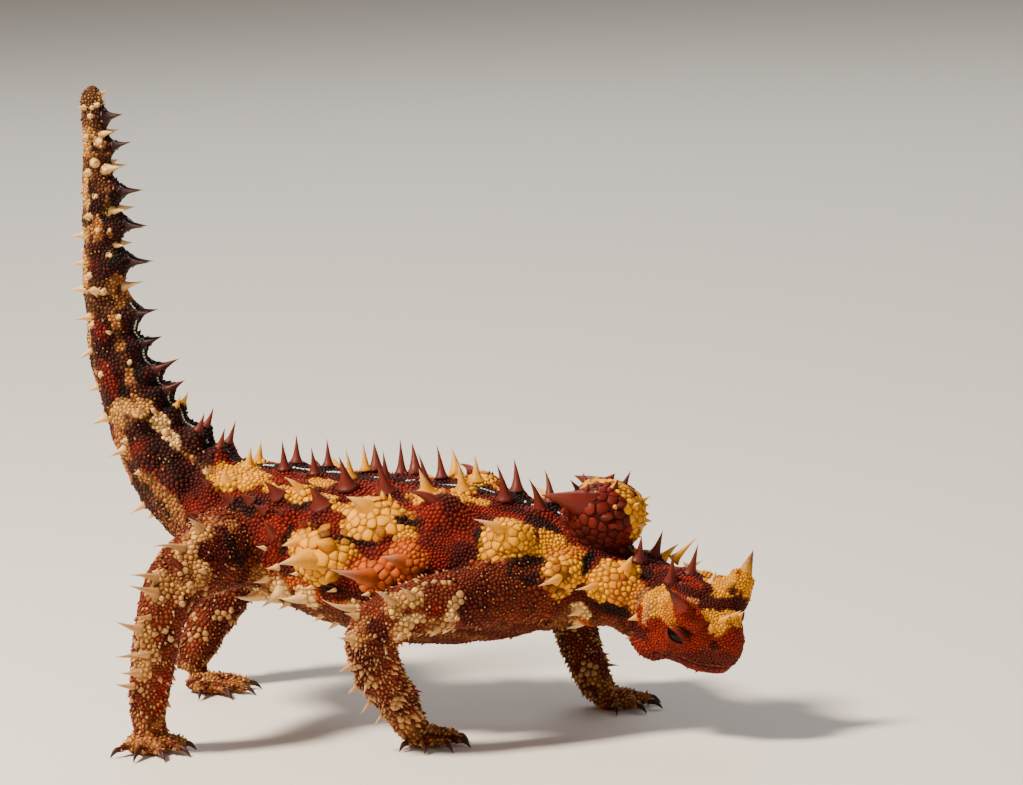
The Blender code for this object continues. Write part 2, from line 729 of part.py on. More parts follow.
def build_head(thorns, skull):
    """The skull with brows, horn stumps, lids, mouth line, nostrils and ears."""
    head = loft("head", skull, 0.0, skull.end, 12, 18)
    pieces = head_thorns(thorns, skull)
    cuts = [mouth_line(skull)]
    for side, name in ((-1, "right"), (1, "left")):
        horn = horn_tube(side)
        pieces += [brow(side), lid(side), loft("stump", horn, 0.0, HORN_SPLIT, 3, 9)]
        above = loft("horn_" + name, horn, HORN_SPLIT, horn.end, 6, 9, gap=GAP)
        paint(above, "horn", HORN_TONE, 0.45)
        paint(eye(side, "eye_" + name), "eye", EYE_TONE, 0.12)
        cuts.append(eye(side, "socket", GAP))
        cuts.append(pit(14.9, side * 3.3, 0.9, 0.55, 0.9, (0.6, side * 0.6, 0.5)))
        cuts.append(pit(4.6, side * 8.1, -0.6, 1.1, 0.8, (0, side, 0)))
    boolean(head, pieces, "UNION")
    boolean(head, cuts, "DIFFERENCE")
    paint(head, "skin", SKIN_TONE, 0.6)
    return head


def build_nape(thorns, body):
    """The knob on the nape, with its pair of great thorns and its small ones."""
    nape = ball("nape_knob", scaled_at(NAPE_CENTRE, NAPE_HALF), 18, 12)
    stalk_rows = ((9.5, 0.0, 30.5, 6.6, 6.0), (14.0, 0.0, 34.0, 6.0, 5.0), (16.0, 0.0, 37.0, 4.5, 4.0))
    pieces = [loft("stalk", Tube(stalk_rows), 0.0, 2.0, 4, 14)]
    for side in (-1, 1):
        root = NAPE_CENTRE + Vector((-2.4, side * 5.6, 1.6)) * MM
        way = Vector((-0.55, side * 0.9, 0.42)).normalized()
        pieces.append(thorns.add("nape_knob", root, way, Vector((-0.25, 0, 0)), 9.4 * MM, 3.2 * MM, 7))
        for forward, up, length in ((2.6, 5.2, 3.0), (-3.6, 5.2, 2.6), (5.6, 2.4, 1.8), (6.2, -1.2, 1.4)):
            across = side * (2.4 if up > 0 else 2.0)
            root = NAPE_CENTRE + Vector((forward, across, up * 0.86)) * MM
            way = Vector((forward * 0.7, across, up)).normalized()
            pieces.append(thorns.add("nape_knob", root, way, Vector(), length * MM, 0.9 * MM, 4))
    boolean(nape, [piece for piece in pieces if piece], "UNION")
    boolean(nape, [loft("bed", body, 0.0, 6.0, 26, 24, GAP)], "DIFFERENCE")
    paint(nape, "skin", SKIN_TONE, 0.6)


def build_body(thorns, body):
    """Neck, torso and three lengths of tail, each with its thorns."""
    plan = ((5, 18, TRUNK_ROWS), (14, 20, TRUNK_ROWS), (6, 12, TAIL_ROWS), (5, 10, TAIL_ROWS))
    plan += ((9, 8, TAIL_ROWS),)
    for (name, start, end), (rings, sides, rows) in zip(BODY_NODES, plan):
        node = loft(name, body, start, end, rings, sides, gap=GAP)
        pieces = thorns.table(name, body, TRUNK_THORNS + TAIL_THORNS, (start, end))
        pieces += thorns.rows(name, body, within(rows, start, end))
        boolean(node, pieces, "UNION")
        if name == "neck":
            boolean(node, [block("front", head_matrix(), (-GAP, 0.03), 0.03)], "DIFFERENCE")
        paint(node, "skin", SKIN_TONE, 0.6)


def toe_tube(foot, fan, share):
    """One toe with its claw, as a tube from the palm out and down to the ground."""
    way = Matrix.Rotation(math.radians(foot.heading + fan), 3, "Z") @ Vector((1, 0, 0))
    toe, claw = foot.toe * share, foot.claw * share
    heights = ((0.3, 1.9, 1.1), (0.62, 1.9, 1.0), (1.0, 1.2, 0.95))
    rows = []
    for part, height, half in heights:
        place = way * (foot.palm * 0.55 + toe * part)
        rows.append((foot.x + place.x, foot.y + place.y, height, half, half))
    for reach, height, half in ((0.35, 1.25, 0.6), (1.0, 0.0, 0.0)):
        place = way * (foot.palm * 0.55 + toe + claw * reach)
        rows.append((foot.x + place.x, foot.y + place.y, height, half, half))
    return Tube(rows, way.cross(UP))


def build_foot(name, leg, foot):
    """A palm with five clawed toes and the ankle above it, cut flat at the ground."""
    place = Vector((foot.x, foot.y, 1.5)) * MM
    turn = Matrix.Rotation(math.radians(foot.heading), 4, "Z")
    half = (foot.palm * 1.05 * MM, foot.palm * 0.95 * MM, 1.9 * MM)
    palm = ball(name, scaled_at(place, half, turn), 14, 8)
    pieces = [loft("ankle", leg, LEG_END, leg.end, 4, 12, gap=GAP)]
    for fan, share in zip(TOE_FAN, TOE_SHARES):
        toe = toe_tube(foot, fan, share)
        pieces.append(loft("toe", toe, 0.0, toe.end, 5, 6))
    boolean(palm, pieces, "UNION")
    ground = Matrix.Translation((place.x, place.y, 0)) @ Matrix.Rotation(math.radians(90), 4, "Y")
    boolean(palm, [block("ground", ground, (0, 0.01), 0.02)], "DIFFERENCE")
    paint(palm, "skin", SKIN_TONE, 0.6)


def leg_rows(side, start, end):
    """The leg's rows with the side of the big thorns turned to the rear."""
    rows = [Row(**{**row.__dict__, "angle": row.angle * side}) for row in LEG_ROWS]
    return within(rows, start, end)


def build_leg(thorns, name, leg, side, body):
    """Upper and lower leg, the upper one bedded against the torso."""
    upper = loft(name + "_upper", leg, 0.0, LEG_JOINT, 7, 12)
    bed = loft("bed", body, 0.0, 10.5, 40, 28, GAP)
    table = FORE_THORNS if name.startswith("fore") else HIND_THORNS
    pieces = thorns.table(name + "_upper", leg, table, (0.9, LEG_JOINT), side)
    boolean(upper, pieces + thorns.rows(name + "_upper", leg, leg_rows(side, 0.9, LEG_JOINT)), "UNION")
    boolean(upper, [bed], "DIFFERENCE")
    lower = loft(name + "_lower", leg, LEG_JOINT, LEG_END, 6, 10, gap=GAP)
    pieces = thorns.table(name + "_lower", leg, table, (LEG_JOINT, LEG_END), side)
    boolean(lower, pieces + thorns.rows(name + "_lower", leg, leg_rows(side, LEG_JOINT, LEG_END)), "UNION")
    paint(upper, "skin", SKIN_TONE, 0.6)
    paint(lower, "skin", SKIN_TONE, 0.6)


def stand_on_origin():
    """Moves the whole model so that its box stands centred on the origin."""
    corners = [v.co for obj in bpy.data.objects for v in obj.data.vertices]
    low = Vector([min(c[k] for c in corners) for k in range(3)])
    high = Vector([max(c[k] for c in corners) for k in range(3)])
    shift = Vector((-(low.x + high.x) / 2, -(low.y + high.y) / 2, -low.z))
    for obj in bpy.data.objects:
        obj.location = shift


def main():
    for obj in list(bpy.data.objects):
        bpy.data.objects.remove(obj)
    body = Tube(BODY_STATIONS)
    skull = head_tube()
    legs = {
        "fore_right": (Tube(FORE_RIGHT, Vector((-1, 0, 0))), 1),
        "fore_left": (Tube(FORE_LEFT, Vector((1, 0, 0))), -1),
        "hind_right": (Tube(HIND_RIGHT, Vector((-1, 0, 0))), 1),
        "hind_left": (Tube(HIND_LEFT, Vector((1, 0, 0))), -1),
    }
    thorns = Thorns()
    for name, start, end in BODY_NODES:
        thorns.claim(name, body, start, end)
    thorns.claim("head", skull, 0.0, skull.end)
    thorns.claim("nape_knob", Tube(NAPE_HULL), 0.0, 2.0)
    for name, (leg, side) in legs.items():
        thorns.claim(name + "_upper", leg, 0.0, LEG_JOINT)
        thorns.claim(name + "_lower", leg, LEG_JOINT, LEG_END)
        thorns.claim(name + "_foot", leg, LEG_END, leg.end)
    build_head(thorns, skull)
    build_nape(thorns, body)
    build_body(thorns, body)
    for name, (leg, side) in legs.items():
        build_leg(thorns, name, leg, side, body)
        build_foot(name + "_foot", leg, FEET[name])
    stand_on_origin()


main()
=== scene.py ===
"""Looks of the thorny devil: one skin, its mosaic of scales, its spines, horns, eyes and claws.

Everything is in metres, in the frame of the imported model. +X runs from tail to head, +Y is the
animal's left and +Z is up. Sizes are written in millimetres and turned to metres with MM.
"""

import logging
import math
import sys
from collections.abc import Iterable
from dataclasses import dataclass, field
from enum import Enum, IntEnum

import bmesh
import bpy
import numpy as np
from bmesh.types import BMEdge, BMesh, BMVert
from bpy.types import ID, Material, Mesh, Node, NodeSocket, NodeTree, Object
from mathutils import Matrix, Vector
from mathutils.bvhtree import BVHTree
from mathutils.kdtree import KDTree


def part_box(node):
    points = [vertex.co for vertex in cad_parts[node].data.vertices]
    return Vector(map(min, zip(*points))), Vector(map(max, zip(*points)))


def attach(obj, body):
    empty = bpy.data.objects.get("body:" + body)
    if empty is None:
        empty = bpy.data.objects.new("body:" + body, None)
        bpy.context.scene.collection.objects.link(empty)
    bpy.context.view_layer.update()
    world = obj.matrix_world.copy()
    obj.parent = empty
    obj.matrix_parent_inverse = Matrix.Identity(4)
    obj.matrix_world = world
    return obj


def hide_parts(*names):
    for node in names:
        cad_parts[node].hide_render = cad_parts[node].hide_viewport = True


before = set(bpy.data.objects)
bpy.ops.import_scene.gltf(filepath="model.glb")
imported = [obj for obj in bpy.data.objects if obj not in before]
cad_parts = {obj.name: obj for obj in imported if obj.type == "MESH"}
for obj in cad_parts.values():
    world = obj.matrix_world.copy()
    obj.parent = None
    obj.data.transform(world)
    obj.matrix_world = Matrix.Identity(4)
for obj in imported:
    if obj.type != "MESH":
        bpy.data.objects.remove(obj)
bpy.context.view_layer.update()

log = logging.getLogger("thorny_devil")
Array = np.ndarray
MM = 0.001


@dataclass(frozen=True)
class Foot:
    """One foot: where its palm stands, the way its middle toe points, and its sizes in mm."""

    x: float
    y: float
    heading: float
    palm: float
    toe: float
    claw: float


# Body line from skull base to tail tip, in mm: x, y, z, half width, half height.
BODY_STATIONS = (
    (28.6, -3, 21.4, 6.9, 6.2), (19, -0.8, 24.2, 8.2, 6.8), (12, 0, 26.4, 10.2, 8.2),
    (5, 0, 27.1, 13.4, 10.6), (-6, 0, 27.6, 17, 13), (-18, 0, 28.1, 18.6, 13.7),
    (-30, 0, 30.1, 17.6, 12.7), (-41, 0, 32.5, 14.6, 11.5), (-50, 0, 35.2, 11.2, 9.6),
    (-58, 0, 40.2, 8.6, 8.2), (-63.5, 0, 46.8, 7.2, 7), (-67.5, 0, 54.5, 5.7, 5.7),
    (-70.6, 0, 64, 4.6, 4.6), (-72, 0, 76, 3.8, 3.8), (-72.2, 0, 90, 3, 3), (-72.6, 0, 101, 2.3, 2.3),
    (-72.7, 0, 106.5, 1.8, 1.8), (-72.7, 0, 108.4, 0.9, 0.9),
)
# Legs from root to wrist or ankle, in mm: x, y, z, half width, half height.
FORE_RIGHT = (
    (7, -7, 26, 6, 6.4), (-2, -17.5, 25.6, 5.2, 5.4), (-11, -25, 24.6, 4.6, 4.7),
    (-16.2, -27.6, 21, 4.5, 4.5), (-16.6, -24.5, 14, 4.2, 4.3), (-14.8, -19, 6.6, 3.3, 3.4),
    (-13.6, -17, 2.6, 2.8, 2.8),
)
FORE_LEFT = (
    (7, 7, 26, 6, 6.4), (4.6, 15.5, 25.8, 5.2, 5.4), (1.6, 22, 23.4, 4.7, 4.7),
    (1.4, 23.2, 18.4, 4.4, 4.4), (3.6, 20.8, 11.4, 3.9, 3.9), (6.8, 18.2, 5.4, 3.2, 3.2),
    (8.4, 17.2, 2.6, 2.8, 2.8),
)
HIND_RIGHT = (
    (-46, -5, 31.6, 7, 7.2), (-48.4, -15, 31.2, 6.6, 6.8), (-50.4, -24.5, 29.4, 5.6, 5.6),
    (-51.8, -29.8, 25.2, 4.6, 4.6), (-53.6, -30.4, 18, 4.1, 4.1), (-55.8, -28.8, 9, 3.5, 3.5),
    (-56.6, -27.8, 3.2, 3, 3),
)
HIND_LEFT = (
    (-46, 5, 31.6, 7, 7.2), (-49.6, 14.6, 31.4, 6.6, 6.8), (-53, 23.4, 29.4, 5.7, 5.7),
    (-56.4, 27.8, 24.4, 4.9, 4.9), (-61.2, 25.6, 17, 4.4, 4.4), (-66.2, 21.6, 8, 3.5, 3.5),
    (-67.2, 20.4, 3.2, 2.9, 2.9),
)
# The skull in its own frame, in mm: x forward, then y, z, half width, half height.
HEAD_STATIONS = (
    (0, 0, -0.2, 7, 6.4), (3.2, 0, -0.2, 7.8, 6.9), (7, 0, -0.6, 7.9, 7), (10, 0, -0.9, 7.3, 6.8),
    (12.8, 0, -1.5, 6.2, 6.2), (15, 0, -2, 4.7, 5), (16.4, 0, -2.4, 3.2, 3.6), (17.2, 0, -2.7, 1.5, 1.8),
)
# The four feet: place, heading in degrees, palm, toe and claw in mm.
FEET = {
    "fore_right": Foot(-11.6, -16.2, -38.0, 3.9, 4.3, 1.8),
    "fore_left": Foot(11.0, 16.8, 4.0, 3.9, 4.3, 1.8),
    "hind_right": Foot(-56.4, -28.0, -50.0, 4.2, 5.0, 2.0),
    "hind_left": Foot(-63.6, 19.2, -8.0, 4.2, 5.0, 2.0),
}
TOE_FAN = (-74.0, -36.0, -4.0, 28.0, 62.0)
TOE_SHARES = (0.82, 1.0, 1.06, 1.0, 0.8)
# The nape knob and the stalk under it, in the same form as the body line.
NAPE_STATIONS = (
    (8.7, 0, 36.4, 0.6, 0.5), (10, 0, 36.4, 4.6, 3.8), (12.5, 0, 36.4, 6.8, 5.6),
    (15.6, 0, 36.4, 7.6, 6.2), (18.7, 0, 36.4, 6.8, 5.6), (21.2, 0, 36.4, 4.6, 3.8),
    (22.5, 0, 36.4, 0.6, 0.5),
)
STALK = ((9.5, 0.0, 30.5, 6.6, 6.0), (14.0, 0.0, 34.0, 6.0, 5.0), (16.0, 0.0, 37.0, 4.5, 4.0))
# Balls of flesh on each side of the skull: place in its frame and half sizes, in mm.
BROW_CHEEK_JAW = (
    ((8.6, 5, 3.9), (4.4, 2.6, 2.3)), ((4.2, 5.6, 1.4), (3.2, 2.9, 3.6)), ((3.4, 4.6, -4.2), (4.2, 3, 2.6)),
)
# Pits in the skin of the skull, the ear's and the nostril's: place, radius and depth in mm.
PITS = ((4.6, 8.1, -0.6, 1.0, 0.9), (14.9, 2.8, 0.9, 0.5, 0.4))
# Places that scales keep away from, the eye, the ear and the nostril: place and radius in mm.
CLEARINGS = ((9.8, 6.3, 0.6, 2.3), (4.6, 8.1, -0.6, 0.9), (14.9, 2.95, 1.0, 0.55))
# A brow horn from inside the brow to its tip, in the skull's frame: place and half size.
FAR_HORN = (
    ((9.8, 4.9, 3.6), 3.3), ((10.2, 6.6, 6.6), 2), ((9.9, 7.9, 8.6), 1.1), ((8.9, 10, 11.4), 0.02),
)
NEAR_HORN = (
    ((9.8, 4.9, 3.6), 2.6), ((9.8, 6.5, 5.8), 1.35), ((9.7, 8.1, 7.9), 0.78), ((9.4, 10.3, 10.5), 0.02),
)
# The stretches that the scales are made in: line with a number, first and last station.
REGIONS = (
    ("body-1", 0, 3.4), ("body-2", 3.4, 5), ("body-3", 5, 6.6), ("body-4", 6.6, 8.6),
    ("body-5", 8.6, 11.6), ("body-6", 11.6, 18), ("head-1", 0, 18), ("nape-1", 0, 18),
    ("fore_right-1", 0, 18), ("fore_left-1", 0, 18), ("hind_right-1", 0, 18), ("hind_left-1", 0, 18),
)
# Domes of the skin: line, station, angle, half length, half width and height in mm, then how
# wide the scales on them are in mm. "head_left_side" means the left side alone.
SHIELDS = (
    ("body", 5.9, 78, 5.8, 3.4, 2.5, 2), ("body", 5, 86, 5.6, 2.2, 1.7, 1.1),
    ("body", 5.2, 50, 5.2, 2.6, 1.6, 1.5), ("body", 3.3, 58, 4.2, 3.4, 1.5, 1.15),
    ("body", 2.1, 68, 2.8, 2.6, 1.4, 0.9), ("body", 0.95, 66, 3.8, 3.4, 2.1, 1.1),
    ("body", 1.3, 140, 2.6, 2.4, 1.2, 1), ("body", 12.24, 96, 2.2, 1.7, 0.8, 0.62),
    ("body", 11.5, 104, 2.6, 1.8, 0.9, 0.62), ("body", 9.9, 92, 3.2, 2, 1.2, 0.66),
    ("body", 9.2, 76, 2.8, 2, 1.3, 0.66), ("body", 7.9, 34, 4, 2.4, 0.8, 1),
    ("head", 0.95, 50, 1.2, 2.4, 0.7, 0.55), ("head", 1.6, 46, 1, 2.2, 0.7, 0.55),
    ("head", 1.3, 68, 0.9, 2, 0.5, 0.5), ("head_left_side", 2.7, 34, 3, 2.4, 1.1, 0.5),
)
PATCH = 0.003  # how wide a scale's patch is on the OFBake map
TAIL = 8.8  # the station of the body line where the tail's looks begin
CREST = (2.5, 12.6)  # the stations between which the white line runs along the back
FLOOR = 0.02 * MM  # how low the corners of scales and spines may reach


class Tone(Enum):
    """The colours of the hide, as sRGB hex values."""

    OCHRE = "#DD9402"
    CREAM = "#E3B26C"
    WHITE = "#F8EFD8"
    ORANGE = "#AE4E12"
    BRICK = "#7A1B0B"
    MAROON = "#460E07"
    BLACK = "#150706"
    TAN = "#98602F"
    SAND = "#B97A3E"
    # The face tone is deeper than the head's own red: partly painted shade.
    FACE = "#882208"
    # The jaw tone is a darker red-brown under the head: painted shade, partly the jaw's own colour.
    JAW = "#5C1C0E"
    KNOB = "#621609"
    LIMB = "#782F16"
    # The belly tone is darker than the belly's own paler colour: painted shade on the underside.
    BELLY = "#5C2010"
    SPINE = "#662013"
    UMBER = "#2A0D08"
    STRAW = "#BC8546"
    AMBER = "#BE6E0F"


# The tables name the tones without their class.
(
    OCHRE, CREAM, WHITE, ORANGE, BRICK, MAROON, BLACK, TAN, SAND,
    FACE, JAW, KNOB, LIMB, BELLY, SPINE, UMBER, STRAW, AMBER,
) = Tone


# Spines of one side: station, angle in degrees, then the tip's way from the root in mm, along the
# body, to the left and out, the root's radius in mm and the tone.
TRUNK_THORNS = (
    (0.8, -46, -1.6, -2.6, 3.8, 1.6, OCHRE), (1.1, -58, 0.8, -1.6, 1.4, 1.1, OCHRE),
    (8.88, -12, 1.6, -0.6, 5.1, 1.7, SPINE), (8.04, -12, 1.1, -0.2, 4, 1.2, OCHRE),
    (7.14, -12, 1.2, -0.6, 4.9, 1.2, SPINE), (6.6, -12, 1.3, -0.7, 4.8, 1.1, SPINE),
    (6, -12, 1.6, -0.7, 5.3, 1.1, OCHRE), (5.46, -12, 1.2, -0.7, 6, 1.2, SPINE),
    (4.74, -12, 1.3, -1, 5.9, 1.2, SPINE), (4.2, -12, 0.5, -0.8, 4.9, 1.5, OCHRE),
    (3.6, -12, 0.9, -1.3, 6, 1.5, SPINE), (3.06, -12, 1.6, -1.7, 5.6, 1.5, SPINE),
    (10.5, -12, 1.6, -0.4, 2.8, 1.4, OCHRE), (9.72, -12, 2, -0.4, 4.3, 1.8, SPINE),
    (5.94, -24, 1.7, -1.6, 5.3, 1.8, SPINE), (5.34, -24, 1.9, -1.8, 5.8, 1.8, SPINE),
    (4.62, -24, 1.1, -1.5, 5.3, 2.1, OCHRE), (8.16, -44, 1.5, -1.4, 1.8, 1.7, OCHRE),
    (6.96, -44, 2.3, -1.9, 2.4, 1.7, SPINE), (6.6, -36, 2.6, -1.8, 2.2, 1.5, OCHRE),
    (6.18, -44, 2.1, -2, 3.6, 2.1, SPINE), (5.4, -44, 3.6, -3.2, 2.8, 3, OCHRE),
    (4.38, -36, 4.1, -3.2, 3.4, 3, SPINE), (3.36, -52, 4.1, -4.8, 3.9, 2.8, OCHRE),
    (6.72, -76, 2, -2.1, 3.1, 1.9, SPINE), (6.24, -76, 2.4, -3.5, -0.3, 1.9, OCHRE),
    (6, -84, 4.5, -6.5, -0.9, 3.3, OCHRE), (5.1, -88, 5.1, -6.8, 1.8, 2.5, ORANGE),
    (4.68, -76, 2.6, -3.9, 1.6, 2.5, ORANGE), (2.16, -80, 2.5, -4.9, -1.5, 2.4, OCHRE),
    (6.84, -88, 1.2, -1.5, 0.2, 0.7, CREAM), (6.78, -116, 1.6, -1.7, -0.7, 1, CREAM),
    (6.84, -140, 4.5, -3, -0.8, 1.8, CREAM), (6.54, -124, 1.8, -3.8, -2.7, 1.5, CREAM),
    (6.12, -120, 3.4, -2.7, -0.3, 1.9, CREAM), (5.34, -116, 4.7, -4, 1.6, 1.3, CREAM),
    (1.2, -80, 2.2, -4.5, -1, 1.8, OCHRE), (1.56, -124, 1.1, -1.8, -1.2, 1.2, CREAM),
    (1.56, -160, 2.2, -1.5, -1.7, 1.5, CREAM), (0.78, 20, 0.1, 1.2, 4.9, 1.3, SPINE),
)
TAIL_THORNS = (
    (15.27, -11, 0.3, -0.3, 2.8, 1.2, UMBER), (14.91, -26, 0.4, -0.8, 1.8, 0.9, CREAM),
    (14.68, -11, 0.5, -0.3, 4.1, 1.5, UMBER), (14.35, -24, 0.3, -0.8, 2.4, 1, CREAM),
    (14.01, -11, 0.2, -0.3, 5, 1.8, UMBER), (13.79, -24, 0.2, -0.8, 2.6, 1, CREAM),
    (13.59, -11, 0, -0.3, 5, 1.9, UMBER), (13.38, -24, 0, -0.6, 1.7, 0.8, CREAM),
    (13.15, -11, 0, -0.3, 5.1, 1.9, UMBER), (12.42, -14, 0.2, -0.5, 4.4, 1.7, UMBER),
    (11.92, -14, 0.4, -0.5, 3.8, 1.6, UMBER), (11.36, -14, 0.5, -0.5, 4.6, 1.8, MAROON),
    (10.92, -14, 0.4, -0.5, 4, 1.7, MAROON), (12.84, -8, 0.5, -0.3, 3.1, 0.9, CREAM),
    (10.68, -72, 0.8, -1.1, -0.3, 1.5, OCHRE), (12.84, -96, 0.3, -1.4, -0.7, 1.3, CREAM),
    (12.24, -76, 0.4, -0.6, -0.1, 0.9, CREAM), (12.84, -140, 0.4, -0.8, -1, 0.8, CREAM),
    (12.48, -128, 0.1, -1.9, -1.6, 0.9, CREAM), (12, -144, -0.9, -1.4, -1.7, 0.8, CREAM),
    (11.46, -156, -0.3, -0.8, -1.7, 0.8, CREAM), (10.92, -144, -0.2, -1.6, -2.2, 1, CREAM),
    (10.26, -124, 0.2, -2.3, -2.1, 0.9, CREAM), (9.3, -152, 0.3, -1.4, -2.7, 1.1, CREAM),
    (9.12, -168, 0.4, -0.3, -1.5, 0.9, CREAM),
)
FORE_THORNS = (
    (2.28, -20, 2, 0.4, 4, 1.5, CREAM), (1.98, -36, 1.7, -0.4, 3.1, 1.5, CREAM),
    (1.68, -124, 1.9, -1.2, -0.9, 1.4, CREAM), (2.4, -80, 1.5, -1.3, 1.1, 1.4, CREAM),
    (1.5, -108, 0.8, -1.2, 0.4, 1.1, CREAM), (2.82, 40, 0.6, 1.6, 1.8, 1, CREAM),
    (3.06, 28, -0.1, 2.2, 2.4, 1.2, CREAM), (2.94, 24, -1, 0.4, 0.7, 0.7, CREAM),
    (3.54, 40, -0.1, 1.7, 1.9, 1.1, CREAM), (4.08, 56, 0.4, 1.6, 1.3, 1, CREAM),
    (4.44, 48, 0.6, 1.7, 1.9, 0.8, CREAM), (4.8, 44, 0.6, 1.6, 1.9, 0.6, CREAM),
    (3, -48, 0.8, -0.8, 1.2, 0.5, CREAM), (4.68, -108, 0.6, -1.3, 0.1, 0.7, BRICK),
    (4.86, -60, 0.7, -1.7, 1.1, 0.6, BRICK), (3.6, -64, 0.2, -1.5, 0.6, 0.5, BRICK),
    (3.9, 12, 0.4, 0.1, 1.4, 0.7, CREAM),
)
HIND_THORNS = (
    (2.04, -16, 5.2, 2.7, 3.6, 1.4, CREAM), (1.56, -16, 2, 1, 3.2, 1.5, CREAM),
    (2.4, -24, 1.2, 1.3, 4.4, 1.2, SPINE), (2.7, 8, 2.7, 2.5, 4.2, 1.3, CREAM),
    (2.94, 4, 1.3, 2.9, 5.5, 1.4, CREAM), (3.54, 24, -1.3, 3.6, 4.3, 1.3, CREAM),
    (3.3, 8, 0.3, 1.5, 2.6, 0.7, CREAM), (4.08, 32, 0, 2.9, 3.6, 0.9, CREAM),
    (4.32, 16, -0.3, 2.5, 3.1, 1.3, CREAM), (4.62, 32, -0.8, 2.6, 2.5, 1, CREAM),
    (2.16, -64, 1.6, -0.9, 1.6, 1.4, CREAM), (2.58, -56, 1.8, -0.8, 2, 1.4, CREAM),
    (2.94, -56, 0.5, -0.7, 2, 1.1, CREAM), (3.6, -48, -0.7, -0.1, 2, 1.1, CREAM),
    (3.96, 0, -0.1, 1.8, 3.2, 1.4, CREAM),
)
# Rows of smaller spines: angle, first and last station, step, length, radius, lean back, tone.
ROWS = (
    (60, 6.3, 8.5, 4.4, 2.8, 1.35, 0.5, SPINE), (86, 6.9, 8.3, 4.4, 2.2, 1.15, 0.5, SPINE),
    (125, 2.6, 5.2, 4.6, 2.2, 1, 0.8, CREAM), (140, 5.6, 8.4, 5.5, 1.9, 0.9, 0.8, CREAM),
    (104, 4.2, 6.8, 4.2, 1.8, 0.8, 0.9, CREAM), (44, 9, 16, 8, 1.2, 0.8, 0.2, CREAM),
    (74, 12.9, 16.2, 7, 1.2, 0.8, 0.1, CREAM), (112, 9.6, 16.2, 8, 1.3, 0.8, 0, CREAM),
    (150, 12.9, 13.6, 4.6, 2.2, 0.9, -0.1, CREAM),
)
# Spines of the head in the skull's frame: place, way, length, radius in mm, tone.
HEAD_THORNS = (
    ((2.9, 2.3, 6.2), (0, 0.12, 1), 5.6, 1.2, SPINE, (-1, 1)),
    ((5, 6, 3.6), (-0.3, 0.42, 0.85), 2.6, 1.3, OCHRE, (-1, 1)),
    ((2.2, 7.3, 0.4), (-0.25, 1, -0.15), 2.6, 1.5, OCHRE, (-1, 1)),
    ((6.8, 3.2, 5.7), (0.05, 0.3, 1), 2.6, 1, CREAM, (1,)),
    ((14.2, 1.2, 3.8), (0.6, 0, 0.8), 3, 1, OCHRE, (-1, 1)),
    ((13.9, 3.2, 3), (0.3, 0.4, 0.85), 1.6, 0.9, OCHRE, (-1, 1)),
    ((1.6, 6.2, -4.2), (-0.6, 0.7, -0.3), 2.6, 1.2, ORANGE, (-1, 1)),
    ((-3.2, 4.8, 4.8), (0.3, 0.52, 0.8), 5.8, 1, OCHRE, (1,)),
    ((-1, 5.6, 4), (0.4, 0.75, 0.45), 3.2, 1, CREAM, (1,)),
)
# Small spines of the nape knob: forward, across, up, length in mm, tone.
NAPE_SMALL = (
    (2.6, 2.4, 4.5, 3.2, MAROON), (-3.6, 2.4, 4.5, 2.8, MAROON), (5.6, 2.4, 2.1, 2, OCHRE),
    (6.2, 2, -1, 1.5, OCHRE), (0.2, 4.6, 4.2, 1.6, OCHRE), (3.4, 5.4, 2.4, 1.5, OCHRE),
    (4.4, 4.4, -1.4, 1.2, KNOB),
)

